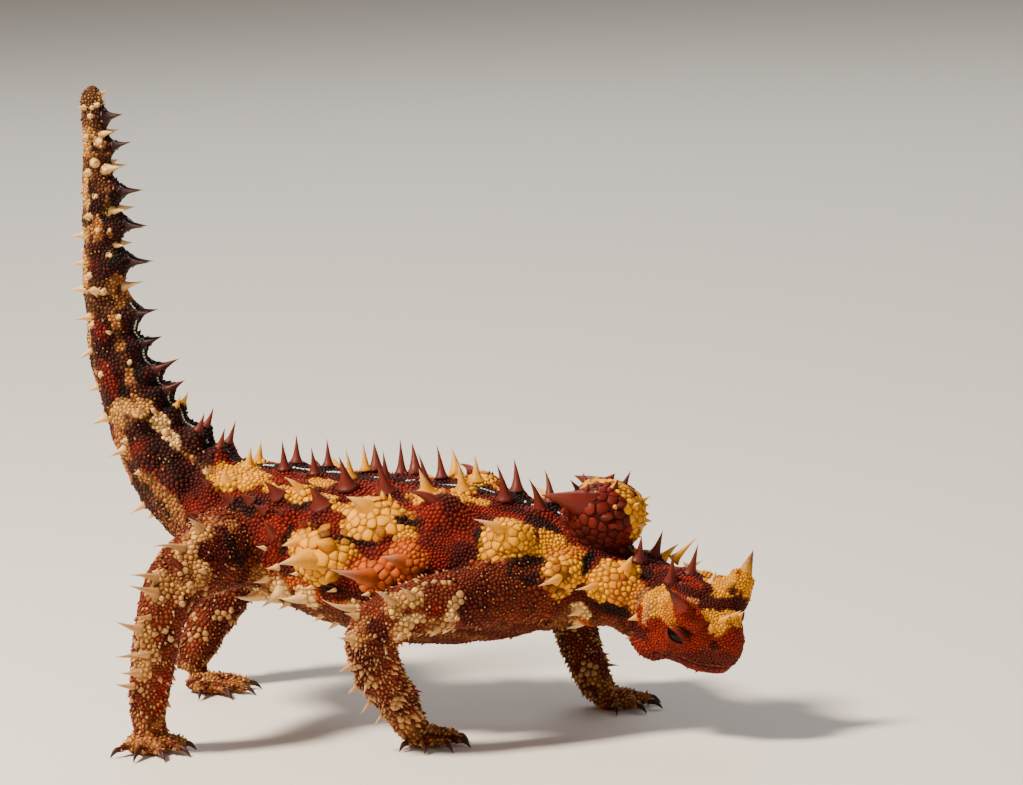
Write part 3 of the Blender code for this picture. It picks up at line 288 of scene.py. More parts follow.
# Markings of one side, painted in this order: line, tone, and for each spot its station, angle
# and half sizes along and around in mm.
MARKS = (
    ("body", OCHRE, (
        (7.92, -32, 5.6, 3.2), (6.72, -36, 3.4, 1.3), (6.36, -20, 2.6, 1.6), (5.16, -48, 6.6, 3.2),
        (5.46, -56, 3.4, 2.8), (4.62, -24, 3.4, 1.9), (4.08, -24, 4, 2), (3.9, -20, 1.6, 1.8),
        (3.3, -56, 5.4, 4.2), (2.58, -48, 2.3, 3.2),
    )),
    # Amber: the yellow of the neck lobes deepened where the nape knob shades them, partly painted shade and
    # partly their own orange-brown.
    ("body", AMBER, ((2.04, -64, 3.6, 3),)),
    ("body", OCHRE, ((5.88, -80, 6.6, 3.4),)),
    ("body", ORANGE, ((4.68, -76, 4.6, 3), (5.16, -84, 4.6, 2.2))),
    ("body", CREAM, ((4.74, -72, 2.2, 0.8),)),
    ("body", TAN, ((6.66, -120, 4, 3.4),)),
    ("body", ORANGE, ((6.12, -112, 4, 2.6), (5.4, -116, 3.6, 1.4))),
    ("body", BRICK, (
        (7.02, -24, 3, 1.2), (5.58, -20, 6.2, 1.9), (3.6, -28, 5, 1.5), (6.48, -64, 2.8, 2.2),
        (6.84, -72, 2, 2.6), (6.72, -96, 1.6, 2.6), (4.38, -44, 2.6, 2.6),
    )),
    # Umber spots in the hollows between the lobes: painted shade, partly the hide's own dark colour.
    ("body", UMBER, (
        (7.44, -60, 3, 2), (6.48, -44, 1.4, 2), (4.74, -48, 2.8, 0.9), (3.66, -52, 1.6, 2.4),
        (2.94, -76, 3.8, 2.6), (2.82, -28, 3.4, 1.4), (5.7, -104, 2.4, 0.9),
    )),
    # Amber on the neck: partly painted shade under the nape knob and partly the lobes' own orange-brown.
    ("body", AMBER, ((0.84, -76, 5, 3.3), (1.2, -76, 2.4, 2.2))),
    ("body", ORANGE, ((1.5, -140, 1.8, 2.4),)),
    # Umber on the neck below the nape knob: painted shade, partly the hide's own dark colour.
    ("body", UMBER, ((0.84, -104, 3.4, 1.5), (0.66, -36, 2.6, 1.6))),
    ("body", STRAW, (
        (16.08, -80, 3, 3.5), (15, -116, 5, 1.2), (14.4, -128, 6, 1.3), (13.86, -136, 6, 1.4),
        (13.44, -136, 6, 1.2),
    )),
    ("body", TAN, (
        (14.34, -60, 3.8, 2), (13.56, -80, 3, 1), (12.78, -64, 3, 6), (12.6, -104, 3.4, 2.2),
        (12.3, -56, 2.4, 1.1), (12.06, -56, 2.4, 0.9), (11.7, -56, 2.6, 0.9), (11.22, -60, 2.8, 0.9),
    )),
    ("body", STRAW, ((10.86, -100, 2.6, 3.2), (10.8, -60, 2, 2))),
    ("body", CREAM, ((10.38, -44, 2, 1.6), (9.9, -44, 2.2, 1.2))),
    ("body", TAN, ((9.36, -40, 2.2, 0.9), (8.82, -40, 2.2, 0.9))),
    ("body", KNOB, ((12.24, -96, 3.2, 1.7), (11.52, -104, 3.6, 1.8), (9.9, -92, 4.4, 2))),
    ("body", TAN, (
        (10.44, -120, 3.2, 1.8), (9.84, -144, 3.6, 1.6), (9.18, -108, 5, 2.8), (8.76, -108, 3, 2.2),
    )),
    ("body", STRAW, ((12.84, -128, 3.5, 1.6), (12.12, -140, 6, 0.9))),
    ("hind", TAN, ((1.14, -24, 4, 2.6), (1.56, 0, 3, 1.8))),
    ("hind", MAROON, ((1.68, -44, 6, 2.6),)),
    # Umber on the thigh, and by the knee below: painted shade, partly the hide's own dark colour.
    ("hind", UMBER, ((1.14, -72, 3, 3),)),
    ("hind", TAN, ((2.28, -48, 3.2, 3.2), (2.76, -32, 2.8, 2.4))),
    ("hind", UMBER, ((2.82, -72, 1.6, 1.6),)),
    ("hind", LIMB, ((3.36, -12, 5, 2.6), (4.08, -8, 5.5, 2.4), (4.92, -12, 5, 2))),
    ("hind", MAROON, ((3.6, -44, 2, 1),)),
    ("hind", BRICK, ((4.8, -60, 6, 1.4),)),
    ("fore", CREAM, (
        (2.34, -80, 2.2, 1.5), (2.1, -76, 2.6, 1.1), (1.68, -124, 1.7, 1.3), (1.44, -100, 2.2, 1.7),
    )),
    ("fore", BRICK, ((1.68, -84, 1.8, 1.6),)),
    ("fore", SAND, ((2.16, -32, 3.4, 1.4),)),
    ("fore", TAN, ((2.88, 12, 2.4, 2.2),)),
    ("fore", MAROON, ((2.76, -24, 1.6, 2.4), (1.2, -88, 3, 3.4))),
    ("head", OCHRE, ((1.38, 56, 2.4, 2.6), (2.04, 56, 1.5, 1.4))),
    ("head", ORANGE, ((2.76, 32, 1.3, 1.2),)),
    ("head", MAROON, ((1.8, 20, 3, 1.8), (2.94, 8, 3, 1.8), (3.54, -16, 3, 1.6))),
    # Dark tone on the underside of the head: painted shade, partly the jaw's own colour.
    ("head", JAW, ((4.02, 116, 5.6, 1.8), (5.7, 96, 4, 2.4), (1.8, 132, 3.6, 2))),
    ("head", MAROON, (
        (4.98, 60, 0.8, 0.8), (3.3, 64, 0.8, 0.6), (3, 24, 1.3, 0.8), (0.78, 108, 2.2, 1.2),
    )),
    ("head", BRICK, ((1.08, 132, 2, 1.5),)),
    ("nape", OCHRE, (
        (2.16, 172, 1.2, 1.6), (3.18, -176, 1.6, 1.6), (4.08, -164, 1.6, 1.6), (4.8, -152, 1.5, 1.5),
        (5.34, -120, 1.4, 1.6), (5.58, -48, 1.3, 1.6), (4.98, 0, 1.2, 1.6),
    )),
    # The black line and the maroon and umber spots below fill the gap between shoulder and neck shield, the
    # hollow under the nape knob and the seams between shields: painted shade, partly the hide's own dark
    # colour.
    ("body", BLACK, ((1.7, -62, 0.9, 3.6),)),
    ("body", MAROON, ((1.6, -30, 3.4, 2), (0.7, -10, 3, 2.6), (3.5, -94, 5.5, 3), (3.9, -72, 1.6, 4))),
    ("body", UMBER, ((5.42, -66, 4, 0.7), (6.5, -76, 0.7, 3.2))),
    ("body", KNOB, ((9.24, -80, 3, 1.8),)),
    ("head", OCHRE, ((4, 13, 2.2, 2.2), (3.4, 26, 1.2, 1.1), (4.35, 32, 1.3, 1))),
    ("head_left_side", OCHRE, ((2.6, 32, 2.6, 3),)),
    ("head_left_side", MAROON, ((3.25, 6, 1.2, 1.8), (3.42, 24, 1, 2.2), (3.5, 44, 1.2, 2.4))),
    ("head", MAROON, ((0.8, 22, 2.4, 2.8),)),
    ("body", OCHRE, ((1.05, -52, 2.2, 1.4),)),
    ("head_left_side", OCHRE, ((1.8, 26, 2, 1.2),)),
    ("head", OCHRE, ((0.95, 50, 1.4, 2.6), (1.6, 46, 1.1, 2.3))),
    ("head", AMBER, ((2.12, 50, 1.2, 2.1), (2.45, 57, 1.2, 1.6))),
    ("head", TAN, ((0.52, 60, 0.9, 1.9),)),
    ("head", SAND, ((1.3, 68, 0.9, 2.2), (2.64, 28, 0.9, 1.2))),
    ("body", OCHRE, ((6.9, -36, 3.4, 1.1), (6.24, -37, 3.6, 1.1), (5.8, -43, 2.6, 1.4))),
)


def linear(value: str) -> tuple[float, float, float]:
    """Turns an sRGB hex colour to linear values.

    Args:
        value: a colour such as "#D6962A".

    Returns:
        Red, green and blue, each from 0 to 1.
    """
    parts = [int(value[i : i + 2], 16) / 255 for i in (1, 3, 5)]
    return tuple(p / 12.92 if p <= 0.04045 else ((p + 0.055) / 1.055) ** 2.4 for p in parts)


def rgb(tone: Tone) -> Array:
    """The linear colour of a tone."""
    return np.array(linear(tone.value))


def mix(first: Tone, second: Tone, share: Array, strength: float = 1.0) -> Array:
    """Linear colours between two tones."""
    return rgb(first) + (rgb(second) - rgb(first)) * share * strength


def unit(vectors: Array) -> Array:
    """Vectors of length one in the same directions."""
    return vectors / np.maximum(np.linalg.norm(vectors, axis=-1, keepdims=True), 1e-12)


def dot(a: Array, b: Array) -> Array:
    """Row by row products of two lists of vectors."""
    return np.einsum("...k,...k->...", a, b)


def smooth(low: float, high: float, values: Array) -> Array:
    """A soft step from 0 at low to 1 at high."""
    share = np.clip((values - low) / (high - low), 0.0, 1.0)
    return share * share * (3.0 - 2.0 * share)


def grain(points: Array, size: float, seed: int = 0) -> Array:
    """Smooth noise over space.

    Args:
        points: places, N by 3, in metres.
        size: the width of its lumps, in metres.
        seed: another number gives another pattern.

    Returns:
        N values from 0 to 1.
    """
    place = points / size + 19.7 * seed
    cell = np.floor(place).astype(np.int64)
    part = place - cell
    part = part * part * (3.0 - 2.0 * part)
    total = np.zeros(len(points))
    for corner in np.ndindex(2, 2, 2):
        c = cell + np.array(corner)
        mixed = (c[:, 0] * 73856093) ^ (c[:, 1] * 19349663) ^ (c[:, 2] * 83492791)
        mixed = (mixed ^ (mixed >> 13)) * 1274126177 & 0xFFFFFFFF
        value = (mixed ^ (mixed >> 16)) / 4294967296.0
        total += value * np.prod(np.where(np.array(corner) == 1, part, 1.0 - part), axis=1)
    return total


def tree_of(points: Array) -> KDTree:
    """A search tree that gives the numbers of points."""
    tree = KDTree(len(points))
    for i, place in enumerate(points):
        tree.insert(place, i)
    tree.balance()
    return tree


class Line:
    """Oval rings along a smooth line through stations, as the solids have them."""

    def __init__(self, stations: Array, left: Array) -> None:
        """Keeps the stations.

        Args:
            stations: rows of x, y, z, half width and half height, in metres.
            left: the direction that the rings' width follows.
        """
        self.rows = np.array(stations, float)
        self.left = np.array(left, float)
        self.end = len(self.rows) - 1.0

    def blend(self, t: Array) -> Array:
        """Rows of the spline through the stations at each value of t."""
        t = np.clip(np.atleast_1d(np.asarray(t, float)), 0.0, self.end)
        i = np.minimum(t.astype(int), len(self.rows) - 2)
        f = t - i
        index = np.clip(i[:, None] + np.array([-1, 0, 1, 2]), 0, len(self.rows) - 1)
        first, second = -f + 2 * f**2 - f**3, 2 - 5 * f**2 + 3 * f**3
        third, fourth = f + 4 * f**2 - 3 * f**3, f**3 - f**2
        weights = 0.5 * np.stack([first, second, third, fourth], axis=1)
        return np.einsum("nk,nkc->nc", weights, self.rows[index])

    def frame(self, t: Array) -> tuple[Array, Array, Array]:
        """Tangents, left sides and outer sides of the rings at t."""
        t = np.atleast_1d(np.asarray(t, float))
        tangent = unit(self.blend(t + 0.02)[:, :3] - self.blend(t - 0.02)[:, :3])
        outer = unit(np.cross(self.left, tangent))
        return tangent, np.cross(tangent, outer), outer

    def surface(self, t: Array, degrees: Array, grow: float = 0.0) -> Array:
        """Points at angles from the outer side towards the left side."""
        row = self.blend(t)
        _, left, outer = self.frame(t)
        angle = np.radians(np.atleast_1d(np.asarray(degrees, float)))[:, None]
        across = left * np.sin(angle) * (row[:, 3:4] + grow)
        return row[:, :3] + across + outer * np.cos(angle) * (row[:, 4:5] + grow)

    def normal(self, t: Array, degrees: Array) -> Array:
        """Outward normals at t and at angles."""
        t = np.atleast_1d(np.asarray(t, float))
        degrees = np.atleast_1d(np.asarray(degrees, float))
        across = self.surface(t, degrees + 2) - self.surface(t, degrees - 2)
        along = self.surface(t + 0.03, degrees) - self.surface(t - 0.03, degrees)
        normal = unit(np.cross(across, along))
        away = self.surface(t, degrees) - self.blend(t)[:, :3]
        return np.where(dot(normal, away)[:, None] > 0, normal, -normal)

    def spot(self, t: float, degrees: float) -> tuple[Array, Array, Array]:
        """One point of the surface, its outward normal and the line's direction there."""
        return self.surface(t, degrees)[0], self.normal(t, degrees)[0], self.frame(t)[0][0]

    def pace(self, t: float) -> float:
        """How many metres of the line one station takes at t."""
        return float(np.linalg.norm(self.blend(t + 0.05)[0, :3] - self.blend(t)[0, :3])) / 0.05


@dataclass
class Thorn:
    """One spine from its root on the skin to its tip, on a lobe of the skin."""

    line: str
    root: Array
    normal: Array
    tip: Array
    radius: float
    tone: Tone
    horn: float
    flare: float
    lobe: float
    plate: float

    def upright(self) -> bool:
        """Whether the spine stands up from the skin instead of lying back along it."""
        return float(unit(self.tip - self.root) @ self.normal) > 0.75


@dataclass
class Anatomy:
    """The lines of the animal's body and the places on them that the other pieces share."""

    head_base: tuple[float, float, float] = (25.8, -1.9, 22.7)
    head_turn: tuple[float, float, float] = (-27.0, 21.0, 7.0)
    eye_place: tuple[float, float, float] = (9.8, 6.3, 0.6)
    eye_radius: float = 1.85
    lid_radius: float = 2.12
    slits: tuple[float, float] = (21.0, -19.0)
    mouth_height: float = -4.3
    nape_centre: tuple[float, float, float] = (15.6, 0.0, 36.4)
    nape_half: tuple[float, float, float] = (7.0, 7.6, 6.2)
    ankle: float = 5.6
    leg_sides: dict[str, int] = field(
        default_factory=lambda: {"fore_right": 1, "fore_left": -1, "hind_right": 1, "hind_left": -1}
    )

    def __post_init__(self) -> None:
        """Places the skull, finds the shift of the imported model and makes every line."""
        yaw, pitch, roll = (math.radians(a) for a in self.head_turn)
        turn = Matrix.Rotation(yaw, 3, "Z") @ Matrix.Rotation(pitch, 3, "Y") @ Matrix.Rotation(roll, 3, "X")
        self.turn = np.array(turn)
        self.base = np.array(self.head_base) * MM
        low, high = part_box("eye_right")
        x, y, z = self.eye_place
        self.shift = np.array((low + high) / 2) - self.skull(x, -y, z)
        self.base = self.base + self.shift
        self.lines = {
            "body": self.line(BODY_STATIONS, (0, 1, 0)),
            "fore_right": self.line(FORE_RIGHT, (-1, 0, 0)),
            "fore_left": self.line(FORE_LEFT, (1, 0, 0)),
            "hind_right": self.line(HIND_RIGHT, (-1, 0, 0)),
            "hind_left": self.line(HIND_LEFT, (1, 0, 0)),
            "nape": self.line(NAPE_STATIONS, (0, 1, 0)),
        }
        narrow = np.interp([row[0] for row in HEAD_STATIONS], (10.0, 15.0), (1.0, 0.80))
        rows = [
            (*self.skull(x, y, z), wide * MM * share, high * MM)
            for (x, y, z, wide, high), share in zip(HEAD_STATIONS, narrow)
        ]
        self.lines["head"] = Line(rows, -self.way(0, 1, 0))
        self.index_samples()

    def line(self, stations: tuple, left: tuple) -> Line:
        """A line from stations in mm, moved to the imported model's place."""
        rows = np.array(stations, float) * MM
        rows[:, :3] += self.shift
        return Line(rows, left)

    def skull(self, x: float, y: float, z: float) -> Array:
        """A place in the skull's own frame, in mm, as a point of the model."""
        return self.base + self.turn @ (np.array((x, y, z)) * MM)

    def way(self, x: float, y: float, z: float) -> Array:
        """A direction in the skull's own frame as a direction of the model."""
        return unit(self.turn @ np.array((x, y, z), float))

    def nape(self) -> Array:
        """The middle of the nape knob."""
        return np.array(self.nape_centre) * MM + self.shift

    def parts(self, found: Array) -> tuple[Array, Array]:
        """The name of the line of each located point, and whether it is a leg."""
        names = np.array(self.names)[found[:, 0].astype(int)]
        return names, np.char.startswith(names, "fore") | np.char.startswith(names, "hind")

    def sides(self, key: str) -> list[tuple[str, int]]:
        """The lines that a row of a table means, with the sign of its angle on each."""
        if key in ("fore", "hind"):
            return [(n, s) for n, s in self.leg_sides.items() if n.startswith(key)]
        if key.endswith("_left_side"):
            return [(key.removesuffix("_left_side"), -1 if key.startswith("head") else 1)]
        return [(key, 1), (key, -1)]

    def mirrored(self, points: Array) -> Array:
        """Points on the other side of the skull's middle plane."""
        inside = (points - self.base) @ self.turn
        inside[:, 1] *= -1
        return self.base + inside @ self.turn.T

    def horn(self, side: int) -> Line:
        """The line of one brow horn, from inside the brow to its tip."""
        rows = []
        for (x, y, z), half in FAR_HORN if side == 1 else NEAR_HORN:
            rows.append((*self.skull(x, side * y, z), half * MM, half * MM))
        return Line(rows, self.way(1, 0, 0))

    def toe(self, foot: Foot, fan: float, share: float) -> tuple[Line, Line]:
        """One toe and its claw, as two lines from the palm to the ground."""
        angle = math.radians(foot.heading + fan)
        way = np.array((math.cos(angle), math.sin(angle), 0.0))
        toe, claw = foot.toe * share, foot.claw * share
        centre = np.array((foot.x, foot.y, 0.0))
        side = np.cross(way, (0, 0, 1))

        def row(reach: float, height: float, wide: float, high: float) -> tuple:
            """One ring of the toe at a reach from the palm's middle, in mm."""
            return (*(centre + way * reach + np.array((0, 0, height))), wide, high)

        start = foot.palm * 0.55
        flesh = [
            row(start + toe * 0.2, 1.7, 1.15, 1.1),
            row(start + toe * 0.5, 1.8, 1.0, 1.0),
            row(start + toe * 0.8, 1.35, 0.95, 0.9),
            row(start + toe * 1.03, 1.15, 0.75, 0.75),
        ]
        nail = [
            row(start + toe * 0.85, 1.3, 0.45, 0.5),
            row(start + toe + claw * 0.2, 1.25, 0.4, 0.48),
            row(start + toe + claw * 0.62, 0.8, 0.24, 0.3),
            row(start + toe + claw, 0.1, 0.03, 0.04),
        ]
        return self.line(flesh, side), self.line(nail, side)

    def index_samples(self) -> None:
        """Samples every line's surface, so that a point finds its line, station and angle."""
        rows = []
        for number, (name, line) in enumerate(self.lines.items()):
            last = self.ankle if name in self.leg_sides else line.end
            t, angle = np.meshgrid(np.arange(0.0, last, 0.06), np.arange(-180.0, 180.0, 6.0))
            t, angle = t.ravel(), angle.ravel()
            place = line.surface(t, angle)
            tangent = line.frame(t)[0]
            if name == "head":
                tangent = -tangent
            rows.append(np.column_stack([np.full(len(t), number), t, angle, tangent, place]))
        self.samples = np.concatenate(rows)
        self.names = list(self.lines)
        self.tree = tree_of(self.samples[:, 6:])

    def locate(self, points: Array) -> Array:
        """For each point its line's number, station, angle and lie, in six columns."""
        found = [self.tree.find(point)[1] for point in points]
        return self.samples[found][:, :6]

    def inside(self, points: Array, skip: str) -> bool:
        """Whether any point lies in the solid of a line other than the one skipped."""
        for name, line in self.lines.items():
            if name == skip:
                continue
            t = np.arange(0.0, line.end, 0.08)
            row = line.blend(t)
            tangent, left, outer = line.frame(t)
            for point in points:
                away = point - row[:, :3]
                k = int(np.argmin(dot(away, away)))
                across = away[k] @ left[k] / (row[k, 3] + 0.3 * MM)
                up = away[k] @ outer[k] / (row[k, 4] + 0.3 * MM)
                if across**2 + up**2 < 1 and abs(away[k] @ tangent[k]) < MM:
                    return True
        return False

    def lid(self, side: int, upper: bool, swing: Array, rim: Array) -> tuple[Array, Array]:
        """Places on a lid of one eye.

        Args:
            side: -1 for the right eye, 1 for the left.
            upper: whether it is the upper lid.
            swing: angles along the slit, in degrees from its middle.
            rim: shares of the way from the slit to the lid's far edge.

        Returns:
            The eye's middle, and the directions from it to the places.
        """
        x, y, z = self.eye_place
        out = self.way(0.40, side, 0.26)
        slant = self.way(1, 0, -0.42)
        along = unit(slant - out * (slant @ out))
        up = np.cross(out, along)
        up = up if up @ self.way(0, 0, 1) > 0 else -up
        angle = np.radians(swing)
        slit = math.radians(self.slits[0] if upper else self.slits[1])
        edge = slit * np.clip(np.cos(np.clip(angle * 1.55, -1.57, 1.57)), 0, 1) ** 0.85
        rise = edge + (math.radians(84 if upper else -84) - edge) * rim
        local = np.cos(rise)[:, None] * (np.cos(angle)[:, None] * out + np.sin(angle)[:, None] * along)
        return self.skull(x, side * y, z), local + np.sin(rise)[:, None] * up

    def mouth(self) -> Array:
        """Points along the line of the mouth, from corner to corner round the snout."""
        line = self.lines["head"]
        t = np.linspace(1.9, 6.9, 60)
        row = line.blend(t)
        rise = (row[:, :3] - self.base) @ self.way(0, 0, 1) - self.mouth_height * MM
        angle = np.degrees(np.arccos(np.clip(-rise / row[:, 4], -0.96, 0.96)))
        near = line.surface(t, angle)
        return np.concatenate([near, self.mirrored(near)[::-1]])


@dataclass
class Thicket:
    """Every spine of the animal, gathered from the tables before anything is built."""

    anatomy: Anatomy

    def __post_init__(self) -> None:
        """Fills the list of spines."""
        self.draw = np.random.default_rng(11)
        self.thorns: list[Thorn] = []
        self.table("body", TRUNK_THORNS, (1, -1))
        self.table("body", TAIL_THORNS, (1, -1))
        for name, side in self.anatomy.leg_sides.items():
            rows = FORE_THORNS if name.startswith("fore") else HIND_THORNS
            self.table(name, rows, (side,))
        self.rows()
        self.head()
        self.nape()

    def add(
        self,
        line: str,
        root: Array,
        normal: Array,
        reach: Array,
        radius: float,
        tone: Tone,
        small: bool = False,
    ) -> None:
        """Adds a spine, shorter where its full length would enter another part of the body."""
        for share in (1.0, 0.8, 0.6, 0.45):
            tip = root + reach * share
            way = unit(normal * 0.7 + unit(reach))
            waist = root + way * 0.42 * share * np.linalg.norm(reach)
            if not self.anatomy.inside(np.array([waist, (waist + tip) / 2, tip]), line):
                break
        else:
            return
        upright = unit(reach) @ normal > 0.75
        horn, flare, lobe = (0.66, 0.85, 0.75) if upright else (0.50, 0.2, 1.0)
        if small and upright and radius > 1.3 * MM:
            horn, flare, lobe = 0.36, 0.75, 1.30
        if line.startswith(("fore", "hind")):
            horn, flare, lobe = 0.58, 0.5, 0.6
        if line == "head":
            horn, flare, lobe = 0.7, 0.7, 0.35
        if line == "nape":
            horn, flare, lobe = (0.86, 0.25, 0.35) if radius > 2 * MM else (0.7, 0.6, 0.3)
        if tone is CREAM and line == "body":
            horn, flare, lobe = 0.72, 0.5, 0.4
        radius *= share**0.5
        plate = min(0.30 + 0.32 * radius / MM, 0.66 if small else 1.25)
        thorn = Thorn(line, root, normal, tip, radius, tone, radius * horn, flare, radius * lobe, plate)
        self.thorns.append(thorn)

    def table(self, name: str, rows: tuple, sides: tuple[int, ...]) -> None:
        """Adds the spines of one table, on one side or mirrored on both."""
        line = self.anatomy.lines[name]
        for t, angle, back, left, out, radius, tone in rows:
            for side in sides:
                tangent, across, outer = (v[0] for v in line.frame(t))
                vary = self.draw.uniform(0.93, 1.07)
                reach = (tangent * back + across * left * side + outer * out) * MM * vary
                root, normal, _ = line.spot(t, angle * side)
                self.add(name, root, normal, reach, radius * MM, tone, name == "body" and t > 8.6)

    def rows(self) -> None:
        """Adds the smaller spines that stand in rows along the body and the tail."""
        line = self.anatomy.lines["body"]
        for angle, start, end, step, length, radius, back, tone in ROWS:
            t = start
            while t < end:
                pace = line.pace(t)
                for side in (1, -1):
                    spot = (angle + self.draw.uniform(-5, 5)) * side
                    here = t + self.draw.uniform(-0.3, 0.3) * step * MM / pace
                    root, normal, lie = line.spot(here, spot)
                    size = self.draw.uniform(0.8, 1.15) * MM
                    reach = unit(normal + lie * back) * length * size
                    self.add("body", root, normal, reach, radius * size, tone, True)
                t += step * MM / pace

    def head(self) -> None:
        """Adds the spines of the head, each with its like on the other side."""
        for place, way, length, radius, tone, sides in HEAD_THORNS:
            for side in sides:
                root = self.anatomy.skull(place[0], side * place[1], place[2])
                normal = self.anatomy.way(way[0], side * way[1], way[2])
                self.add("head", root, normal, normal * length * MM, radius * MM, tone, True)

    def nape(self) -> None:
        """Adds the great pair of the nape knob and its small ones."""
        centre = self.anatomy.nape()
        for side in (-1, 1):
            root = centre + np.array((-1.9, side * 5.9, 3.0)) * MM
            way = unit(np.array((-0.45, side * 0.8, 0.42)))
            reach = np.array((-6.3, side * 3.4, 2.0)) * MM
            self.add("nape", root, way, reach, 3.3 * MM, KNOB)
            for forward, across, up, length, tone in NAPE_SMALL:
                root = centre + np.array((forward, side * across, up)) * MM
                way = unit(np.array((forward * 0.7, side * across, up)))
                self.add("nape", root, way, way * length * MM, 0.9 * MM, tone)


@dataclass
class Bosses:
    """The domed lobes of the skin that the larger spines and the flank shields stand on."""

    anatomy: Anatomy
    thicket: Thicket

    def __post_init__(self) -> None:
        """Lists every lobe and lifts the spines' roots on to them."""
        self.lobes: list[tuple[Array, Array, Array, float, float]] = []
        for thorn in self.thicket.thorns:
            if thorn.radius < 1.0 * MM:
                continue
            lean = thorn.tip - thorn.root
            lean = unit(lean - thorn.normal * (lean @ thorn.normal))
            side = np.cross(thorn.normal, lean)
            wide, steep = ((1.25, 1.15, 2.6), 2.0) if thorn.upright() else ((1.4, 1.25, 2.6), 2.7)
            if thorn.lobe > thorn.radius:
                wide, steep = (1.0, 0.9, 3.0), 1.7
            radii = thorn.radius * np.array(wide)
            centre = thorn.root - lean * thorn.radius * 0.3
            self.lobes.append((centre, np.stack([lean, side, thorn.normal]), radii, thorn.lobe, steep))
        for key, t, angle, along, around, height, _ in SHIELDS:
            for name, sign in self.anatomy.sides(key):
                line = self.anatomy.lines[name]
                place, normal, lie = line.spot(t, angle * sign)
                axes = np.stack([lie, unit(np.cross(normal, lie)), normal])
                radii = np.array((along, around, 6.0)) * MM
                self.lobes.append((place, axes, radii, height * MM, 3.4))
        roots = np.array([thorn.root for thorn in self.thicket.thorns])
        normals = np.array([thorn.normal for thorn in self.thicket.thorns])
        for thorn, lift in zip(self.thicket.thorns, self.lift(roots, normals)):
            thorn.root = thorn.root + thorn.normal * lift * 0.92

    def lift(self, points: Array, normals: Array) -> Array:
        """How far each point of the skin is raised by the lobes."""
        rise = np.zeros(len(points))
        for centre, axes, radii, height, steep in self.lobes:
            away = points - centre
            near = dot(away, away) < (radii.max() * 1.9) ** 2
            local = (away[near] @ axes.T) / radii
            facing = smooth(-0.1, 0.5, normals[near] @ axes[2])
            gap = np.sqrt(dot(local, local))
            rise[near] = np.maximum(rise[near], height * np.exp(-(gap**steep)) * facing)
        return rise


